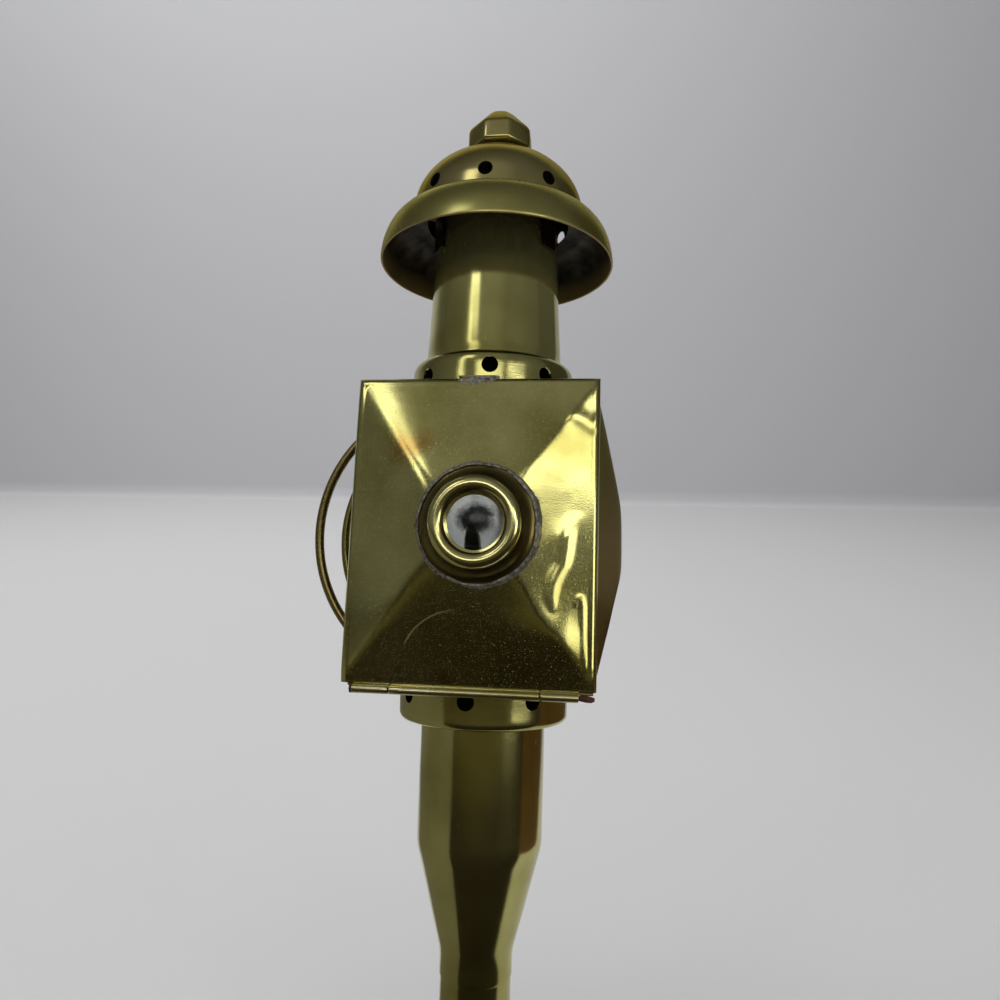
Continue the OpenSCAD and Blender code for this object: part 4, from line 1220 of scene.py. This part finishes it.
class LANTERN_OT_hinge(bpy.types.Operator):
    """Roll the hinge knuckles, drive the pin and solder on the catch"""

    bl_idname = "lantern.hinge"
    bl_label = "Hinge"

    # Half length of the door's knuckle, the gap at its ends and the play of the pin
    DOOR_HALF, END_GAP, PIN_PLAY = 24.2 * MM, 0.5 * MM, 0.08 * MM
    # Turns in degrees over which the knuckles are rolled
    CASE_ROLL, DOOR_ROLL = (390, 90), (60, 360)
    # Corners of the solder tab on the catch in millimetres: a straight top and a pointed lower edge
    TAB = ((-5, 0.3), (7.3, 0.6), (7.5, 0.0), (6.6, -1.1), (-3.7, -4.4), (-7, -1.5))

    def execute(self, context):
        case_low, case_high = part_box("hinge_knuckles")
        shift = (case_low.x + case_high.x) / 2
        inner_end = shift - self.DOOR_HALF - self.END_GAP
        left_roll = self.rolled("case_roll", case_low.x, inner_end, self.CASE_ROLL, leaf_y=-WALL)
        right_roll = copied(left_roll, "case_roll", (case_high.x - inner_end, 0, 0))
        finished(fused("rolled_case_knuckles", [left_roll, right_roll]), "worn_brass_roll", "hinge_knuckles")
        door_roll = self.rolled(
            "rolled_door_knuckle", shift - self.DOOR_HALF, shift + self.DOOR_HALF, self.DOOR_ROLL,
            leaf_z=DOOR_HIGH.z - DOOR_HEIGHT + 1 * MM,
        )
        finished(door_roll, "worn_brass_roll", body="door")
        self.pin()
        self.catch()
        self.tab()
        return {"FINISHED"}

    def rolled(self, name, start_x, end_x, turns, leaf_y=None, leaf_z=None):
        """Roll a sheet edge round the pin, with its leaf running on to the case or up the door."""
        s = sizes()
        hinge = middle("hinge_pin")
        mid_r = (s.pin + s.knuckle_wall) / 2 + self.PIN_PLAY
        profile = bow((hinge.y, hinge.z), mid_r, mid_r, *turns, 28)
        profile.append((leaf_y or profile[-1].x, leaf_z or profile[-1].y))
        roll = drawn(name, [Vector((start_x, *point)) for point in profile])
        parts = 12
        for part in range(parts):
            pull(((end_x - start_x) / parts, 0, 0))
        outward()
        modify(roll, "SOLIDIFY", thickness=s.knuckle_wall, offset=0, use_even_offset=True)
        return broken(roll, 0.12 * MM)

    def pin(self):
        """A headed pin whose tail is bent and rusted."""
        s = sizes()
        pin_low, pin_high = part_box("hinge_pin")
        centre = (pin_low.x, middle("hinge_pin").y, middle("hinge_pin").z)
        head = (pin_high.z - pin_low.z) / 2
        pin = begin(
            bpy.ops.mesh.primitive_circle_add, "driven_pin", vertices=WIRE_SIDES, radius=head,
            fill_type="NGON", location=centre, rotation=(0, math.pi / 2, 0),
        )
        tail = pin_high.x - reach("hinge_knuckles")
        body = pin_high.x - tail - pin_low.x - s.pin / 2
        edit()
        bpy.ops.mesh.select_mode(type="FACE")
        for run, share, droop in (
            (s.pin / 2, 1, 0), (0, s.pin / 2 / head, 0), (body, 1, 0), (tail * 0.2, 1.3, 0),
            (tail * 0.3, 1.15, -0.1 * MM), (tail * 0.3, 0.85, -0.25 * MM), (tail * 0.2, 0.6, -0.1 * MM),
        ):
            pull((run, 0, droop))
            bpy.ops.transform.resize(value=(1, share, share), center_override=centre)
        outward()
        finished(pin, "rusted_iron", "hinge_pin", slot="hinge_steel")

    def catch(self):
        """The spring catch on the door's top edge, with a dimple under its end."""
        s = sizes()
        low_corner, high_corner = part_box("door_catch")
        place = middle("door_catch")
        strip = begin(
            bpy.ops.mesh.primitive_cube_add, "spring_catch",
            (high_corner.x - low_corner.x, high_corner.y - low_corner.y, s.sheet), size=1,
            location=(place.x, place.y, high_corner.z - s.sheet / 2),
        )
        edit()
        pick("EDGE", lambda e: all(v.co.y > high_corner.y - MERGE for v in e.verts)
             and abs(e.verts[0].co.z - e.verts[1].co.z) > s.sheet / 2)
        bpy.ops.mesh.bevel(offset=2 * MM, segments=4, affect="EDGES")
        leave()
        broken(strip, 0.2 * MM, sharp=50)
        dimple = begin(
            bpy.ops.mesh.primitive_uv_sphere_add, "dimple", (1, 1, 0.5), segments=24, ring_count=12,
            radius=1.5 * MM, location=(0, high_corner.y - 3 * MM, high_corner.z - s.sheet),
        )
        finished(fused("spring_catch", [strip, dimple]), "brown_brass_sheet", "door_catch", body="door")

    def tab(self):
        """The flat tab of solder that spilled over the door's top edge."""
        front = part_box("door_catch")[0].y - 0.5 * MM
        outline = [Vector((x * MM, front, DOOR_HIGH.z + z * MM)) for x, z in self.TAB]
        tab = drawn("catch_solder", [*outline, outline[0]])
        bpy.ops.mesh.remove_doubles(threshold=MERGE)
        bpy.ops.mesh.edge_face_add()
        pull((0, 1.6 * MM, 0))
        outward()
        broken(tab, 0.35 * MM, segments=3, sharp=30)
        modify(tab, "REMESH", mode="VOXEL", voxel_size=0.22 * MM)
        waved(tab, 4 * MM, 0.5 * MM)
        waved(tab, 1.5 * MM, 0.25 * MM)
        finished(tab, "old_tin_solder", body="door", slot="solder")


class LANTERN_OT_candle(bpy.types.Operator):
    """Cast the candle, twist its wick and wind the feed spring"""

    bl_idname = "lantern.candle"
    bl_label = "Candle"

    # How far the candle can be pushed down
    TRAVEL = 20 * MM

    def execute(self, context):
        self.candle()
        self.wick()
        self.spring()
        return {"FINISHED"}

    def candle(self):
        """A candle with a melted tip that stands in the nozzle."""
        foot, tip, wide = low("candle"), high("candle"), reach("candle")
        chamfer, throat = 0.5 * MM, 5.65 * MM
        side = eased([
            (wide - chamfer, foot), (wide, foot + chamfer), (wide, tip - 9.45 * MM), (throat, tip - 6.2 * MM),
            (throat, tip - 4.2 * MM), (3.6 * MM, tip - 0.6 * MM), (2.2 * MM, tip), (0.9 * MM, tip - 0.6 * MM),
        ], 0.4 * MM)
        candle = spun("cast_candle", joined([(0, foot)], side, [(0, tip - 0.7 * MM)]), steps=72)
        waved(candle, 7 * MM, 0.25 * MM)
        finished(candle, "stearin_wax", "candle", body="candle", slot="candle_wax")

    def wick(self):
        """A short burnt wick with a bend at its end."""
        foot, steps = low("wick") - 1 * MM, 8
        wick = begin(
            bpy.ops.mesh.primitive_circle_add, "burnt_wick", vertices=10, radius=reach("wick") * 0.9,
            fill_type="NGON", location=(0, 0, foot),
        )
        edit()
        lean = Vector((0, 0, 0))
        for step in range(steps):
            shift = Vector((0.04 * MM * step, -0.03 * MM * step, (high("wick") - foot) / steps))
            lean += shift
            pull(shift)
            share = 1.12 if step % 2 else 0.88
            bpy.ops.transform.resize(value=(share, share, 1), center_override=(lean.x, lean.y, 0))
        outward()
        modify(wick, "SUBSURF", levels=1, render_levels=1)
        finished(wick, "charred_cotton", "wick", body="candle", slot="wick_cotton")

    def spring(self):
        """An open coil under the candle, made at one length; in the lamp it shortens as the candle is pushed
        down.
        """
        s = sizes()
        foot, top, seat = low("feed_spring"), high("feed_spring"), high("end_cap")
        coil = begin(
            bpy.ops.mesh.primitive_circle_add, "wound_spring", vertices=12, radius=s.spring_wire / 2,
            location=(reach("feed_spring") - s.spring_wire / 2, 0, foot + s.spring_wire / 2),
            rotation=(math.pi / 2, 0, 0),
        )
        modify(
            coil, "SCREW", steps=36, render_steps=36, iterations=s.spring_turns, axis="Z",
            screw_offset=(top - foot - s.spring_wire) / s.spring_turns, use_normal_calculate=True,
        )
        edit()
        for upper in (False, True):
            pick("EDGE", lambda e: e.is_boundary and (e.verts[0].co.z > (foot + top) / 2) == upper)
            bpy.ops.mesh.edge_face_add()
        outward()
        finished(coil, "spring_steel", "feed_spring", body="end_cap", slot="spring_steel")
        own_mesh(coil)


# The stage


def bearing(heading, rise):
    """The direction at a heading from the door's side and a rise above the floor, both in degrees."""
    turn, lift = math.radians(heading), math.radians(rise)
    return Vector((math.sin(turn) * math.cos(lift), -math.cos(turn) * math.cos(lift), math.sin(lift)))


class LANTERN_OT_stage(bpy.types.Operator):
    """Set the floor with its backdrop, the cards, the lights and the camera"""

    bl_idname = "lantern.stage"
    bl_label = "Stage"

    # The photographed view: place, heading, tilt and roll in degrees, and focal length in millimetres
    CAMERA_PLACE = Vector((0.03634, -0.27922, 0.13897))
    CAMERA_YAW, CAMERA_PITCH, CAMERA_ROLL = -6.61, 6.36, 1.65
    CAMERA_LENS = 26.48

    # Backdrop in metres: half width, front edge and top, then where the floor starts to rise, its bend and
    # its lean in degrees, and the foot of the wall with the rounding there
    HALF_W, FRONT_Y, TOP_Z = 12.0, -6.0, 6.0
    RISE_Y, BEND, LEAN = 0.1, 1.5, 14
    WALL_Y, CORNER = 2.2, 0.05

    # Felts of the cards, each with its tone near the lamp and, if that changes, its tone further out
    FELTS = {
        "dark_felt": ("#231c10", "#544d2d"),
        "grey_felt": ("#7a786f",),
        "chestnut_felt": ("#5e4426",),
        "ash_felt": ("#4b4a45",),
    }
    # Where the near tone starts to turn and where the far one is reached
    NEAR_Y, FAR_Y = -0.38, -0.6
    # Cards: felt, middle across, middle ahead and height above the floor, width and depth in metres, then
    # tilt and turn in degrees. The left card has a corner under the lamp and lies over the front card.
    CARDS = {
        "front_card": ("dark_felt", 0.25, -2.5, 0, 8.5, 4.95, 0, 0),
        "left_card": ("grey_felt", -4.242, 0.074, 0.012, 6, 6, 0, 44),
        "left_slope_card": ("grey_felt", -1.2, 0.6, 0.1, 1.9, 0.75, 14, 0),
        "right_card": ("chestnut_felt", 1.2, 0.13, 0.012, 1.9, 0.36, 0, 0),
        "right_slope_card": ("chestnut_felt", 1.2, 0.6, 0.1, 1.9, 0.75, 14, 0),
        "right_screen": ("ash_felt", 1.3, 0.8, 1.12, 1.6, 1.2, 90, 90),
    }

    # Light panels: heading and rise in degrees, distance from the lamp, width, height, glow and target
    LAMP_AIM, WALL_AIM, FLOOR_AIM = Vector((0, 0, 0.16)), Vector((-0.6, 2.3, 1.7)), Vector((0, 0.45, 0))
    LIGHTS = {
        "right_panel": (38, 12, 1.3, 0.54, 0.26, 3.0, LAMP_AIM),
        "right_strip": (58, -3, 1.3, 0.55, 0.46, 2.6, LAMP_AIM),
        "front_band": (2, 13.5, 1.3, 0.8, 0.26, 2.2, LAMP_AIM),
        "left_patch": (-30, 34.5, 1.3, 0.3, 0.34, 1.9, LAMP_AIM),
        "left_strip": (-36.5, 22, 1.3, 0.12, 0.34, 2.2, LAMP_AIM),
        "wall_wash": (-60, 70, 2.4, 2.6, 2.4, 1.8, WALL_AIM),
        "floor_wash": (255, 68, 3.3, 3.2, 3.6, 1.3, FLOOR_AIM),
    }

    def execute(self, context):
        self.backdrop()
        self.cards()
        self.world()
        self.lights()
        self.camera()
        context.scene.view_settings.view_transform = "Standard"
        return {"FINISHED"}

    def backdrop(self):
        """A floor that sweeps up into a plain wall."""
        floor_z, lean = CAD_BOX[0][2] - 0.3 * MM, math.radians(self.LEAN)
        sweep = bow((self.RISE_Y, floor_z + self.BEND), self.BEND, self.BEND, -90, self.LEAN - 90, 12)
        corner_z = sweep[-1].y + (self.WALL_Y - sweep[-1].x) * math.tan(lean)
        hub = (self.WALL_Y - self.CORNER * math.sin(lean), corner_z + self.CORNER * math.cos(lean))
        corner = bow(hub, self.CORNER, self.CORNER, self.LEAN - 90, self.LEAN, 8)
        top = (corner[-1].x - (self.TOP_Z - corner[-1].y) * math.tan(lean), self.TOP_Z)
        profile = [(self.FRONT_Y, floor_z), *sweep, *corner, top]
        stage = drawn("floor_and_wall", [Vector((-self.HALF_W, *point)) for point in profile])
        pull((2 * self.HALF_W, 0, 0))
        leave()
        bpy.ops.object.shade_smooth()
        # Matt paper with a soft line where the floor turns into the wall
        add, shader, place = new_finish("matt_paper_backdrop")
        height = add("SeparateXYZ", (place,), "Z")
        grain = add("TexNoise", {"Vector": place, "Scale": per_mm(60), "Detail": 2.0})
        level = add("Math", (grain, 6 * MM, height), operation="MULTIPLY_ADD")
        share = add("MapRange", (level, corner_z + 10 * MM, corner_z + 30 * MM))
        mix = {MIX_FACTOR: share, MIX_A: opaque(colours().floor), MIX_B: opaque(colours().wall)}
        feed(shader, {"Base Color": add("Mix", mix, MIX_OUT, data_type="RGBA"), "Roughness": 0.9})
        stage.data.materials.append(bpy.data.materials["matt_paper_backdrop"])

    def cards(self):
        """Dull cards on the floor and a screen on the right, seen only in the metal's reflections."""
        for felt, (near, *further) in self.FELTS.items():
            add, shader, place = new_finish(felt)
            colour = opaque(linear(near))
            for far in further:
                ahead = add("SeparateXYZ", (place,), "Y")
                share = add("MapRange", (ahead, self.NEAR_Y, self.FAR_Y))
                mix = {MIX_FACTOR: share, MIX_A: colour, MIX_B: opaque(linear(far))}
                colour = add("Mix", mix, MIX_OUT, data_type="RGBA")
            feed(shader, {"Base Color": colour, "Roughness": 1.0})
        for name, (felt, middle_x, middle_y, lift, wide, deep, tilt, turn) in self.CARDS.items():
            card = begin(
                bpy.ops.mesh.primitive_plane_add, name, (wide, deep, 1), size=1,
                location=(middle_x, middle_y, CAD_BOX[0][2] + lift),
                rotation=(math.radians(tilt), 0, math.radians(turn)),
            )
            card.data.materials.append(bpy.data.materials[felt])
            for ray in ("camera", "diffuse", "shadow", "transmission"):
                setattr(card, "visible_" + ray, False)

    def world(self):
        """Dim surroundings, darkest beyond the lamp, with a pale patch above and behind the camera."""
        world = bpy.data.worlds.new("studio")
        bpy.context.scene.world = world
        world.use_nodes = True
        add = partial(add_node, world.node_tree)
        look = add("TexCoord", out="Generated")
        toward = add("VectorMath", (look, bearing(-4, 40)), "Value", operation="DOT_PRODUCT")
        edge, core = math.cos(math.radians(30)), math.cos(math.radians(6))
        patch = add("MapRange", (toward, edge, core, 0.0, 0.1), interpolation_type="SMOOTHSTEP")
        dim = add("MapRange", (add("SeparateXYZ", (look,), "Y"), -0.55, 0.15, 0.14, 0.07))
        feed(world.node_tree.nodes["Background"], {
            "Color": opaque((1, 1, 1)), "Strength": add("Math", (dim, patch), operation="ADD"),
        })

    def lights(self):
        """Soft panels for the metal, which sees their shapes, and two for the floor and the wall alone."""
        for name, (heading, rise, far, wide, tall, glow, target) in self.LIGHTS.items():
            place = self.LAMP_AIM + far * bearing(heading, rise)
            bpy.ops.object.light_add(
                type="AREA", location=place, rotation=(target - place).to_track_quat("-Z", "Y").to_euler()
            )
            lamp = named(bpy.context.object, name)
            lamp.data.shape = "RECTANGLE"
            lamp.data.size, lamp.data.size_y = wide, tall
            # A panel of this power looks as bright as its glow says, where 1 is white
            lamp.data.energy = glow * math.pi * wide * tall
            lamp.visible_camera = False
            lamp.visible_glossy = target == self.LAMP_AIM

    def camera(self):
        """The camera at the photograph's place and angle."""
        yaw, roll = math.radians(self.CAMERA_YAW), math.radians(self.CAMERA_ROLL)
        ahead = bearing(180 - self.CAMERA_YAW, self.CAMERA_PITCH)
        right = Vector((math.cos(yaw), -math.sin(yaw), 0))
        up = right.cross(ahead)
        turned_right = math.cos(roll) * right + math.sin(roll) * up
        turned_up = math.cos(roll) * up - math.sin(roll) * right
        bpy.ops.object.camera_add()
        camera = named(bpy.context.object, "photo_camera")
        axes = Matrix((turned_right, turned_up, -ahead)).transposed()
        camera.matrix_world = Matrix.Translation(self.CAMERA_PLACE) @ axes.to_4x4()
        camera.data.sensor_width = 36.0
        camera.data.lens = self.CAMERA_LENS
        camera.data.clip_start = 0.01
        bpy.context.scene.camera = camera


STEPS = (
    LANTERN_OT_finishes, LANTERN_OT_stem, LANTERN_OT_galleries, LANTERN_OT_chimney, LANTERN_OT_cap,
    LANTERN_OT_door, LANTERN_OT_lens, LANTERN_OT_case, LANTERN_OT_guards, LANTERN_OT_hinge,
    LANTERN_OT_candle, LANTERN_OT_stage,
)


class LANTERN_PT_steps(bpy.types.Panel):
    """The lantern's sizes, colours and modelling steps"""

    bl_idname = "LANTERN_PT_steps"
    bl_label = "Carriage lantern"
    bl_space_type = "VIEW_3D"
    bl_region_type = "UI"
    bl_category = "Lantern"

    def draw(self, context):
        for step in STEPS:
            self.layout.operator(step.bl_idname)
        for group in (sizes(), colours()):
            box = self.layout.box()
            for name in group.__annotations__:
                box.prop(group, name)


CLASSES = (LanternSizes, LanternColours, *STEPS, LANTERN_PT_steps)


def register():
    """Register the classes and give the scene its lantern settings."""
    for cls in CLASSES:
        bpy.utils.register_class(cls)
    bpy.types.Scene.lantern_sizes = PointerProperty(type=LanternSizes)
    bpy.types.Scene.lantern_colours = PointerProperty(type=LanternColours)


def unregister():
    """Remove the settings and the classes."""
    del bpy.types.Scene.lantern_colours
    del bpy.types.Scene.lantern_sizes
    for cls in reversed(CLASSES):
        bpy.utils.unregister_class(cls)


def main():
    """Register the add-on and model the lantern step by step."""
    register()
    for step in STEPS:
        group, name = step.bl_idname.split(".")
        getattr(getattr(bpy.ops, group), name)()


if __name__ == "__main__":
    main()
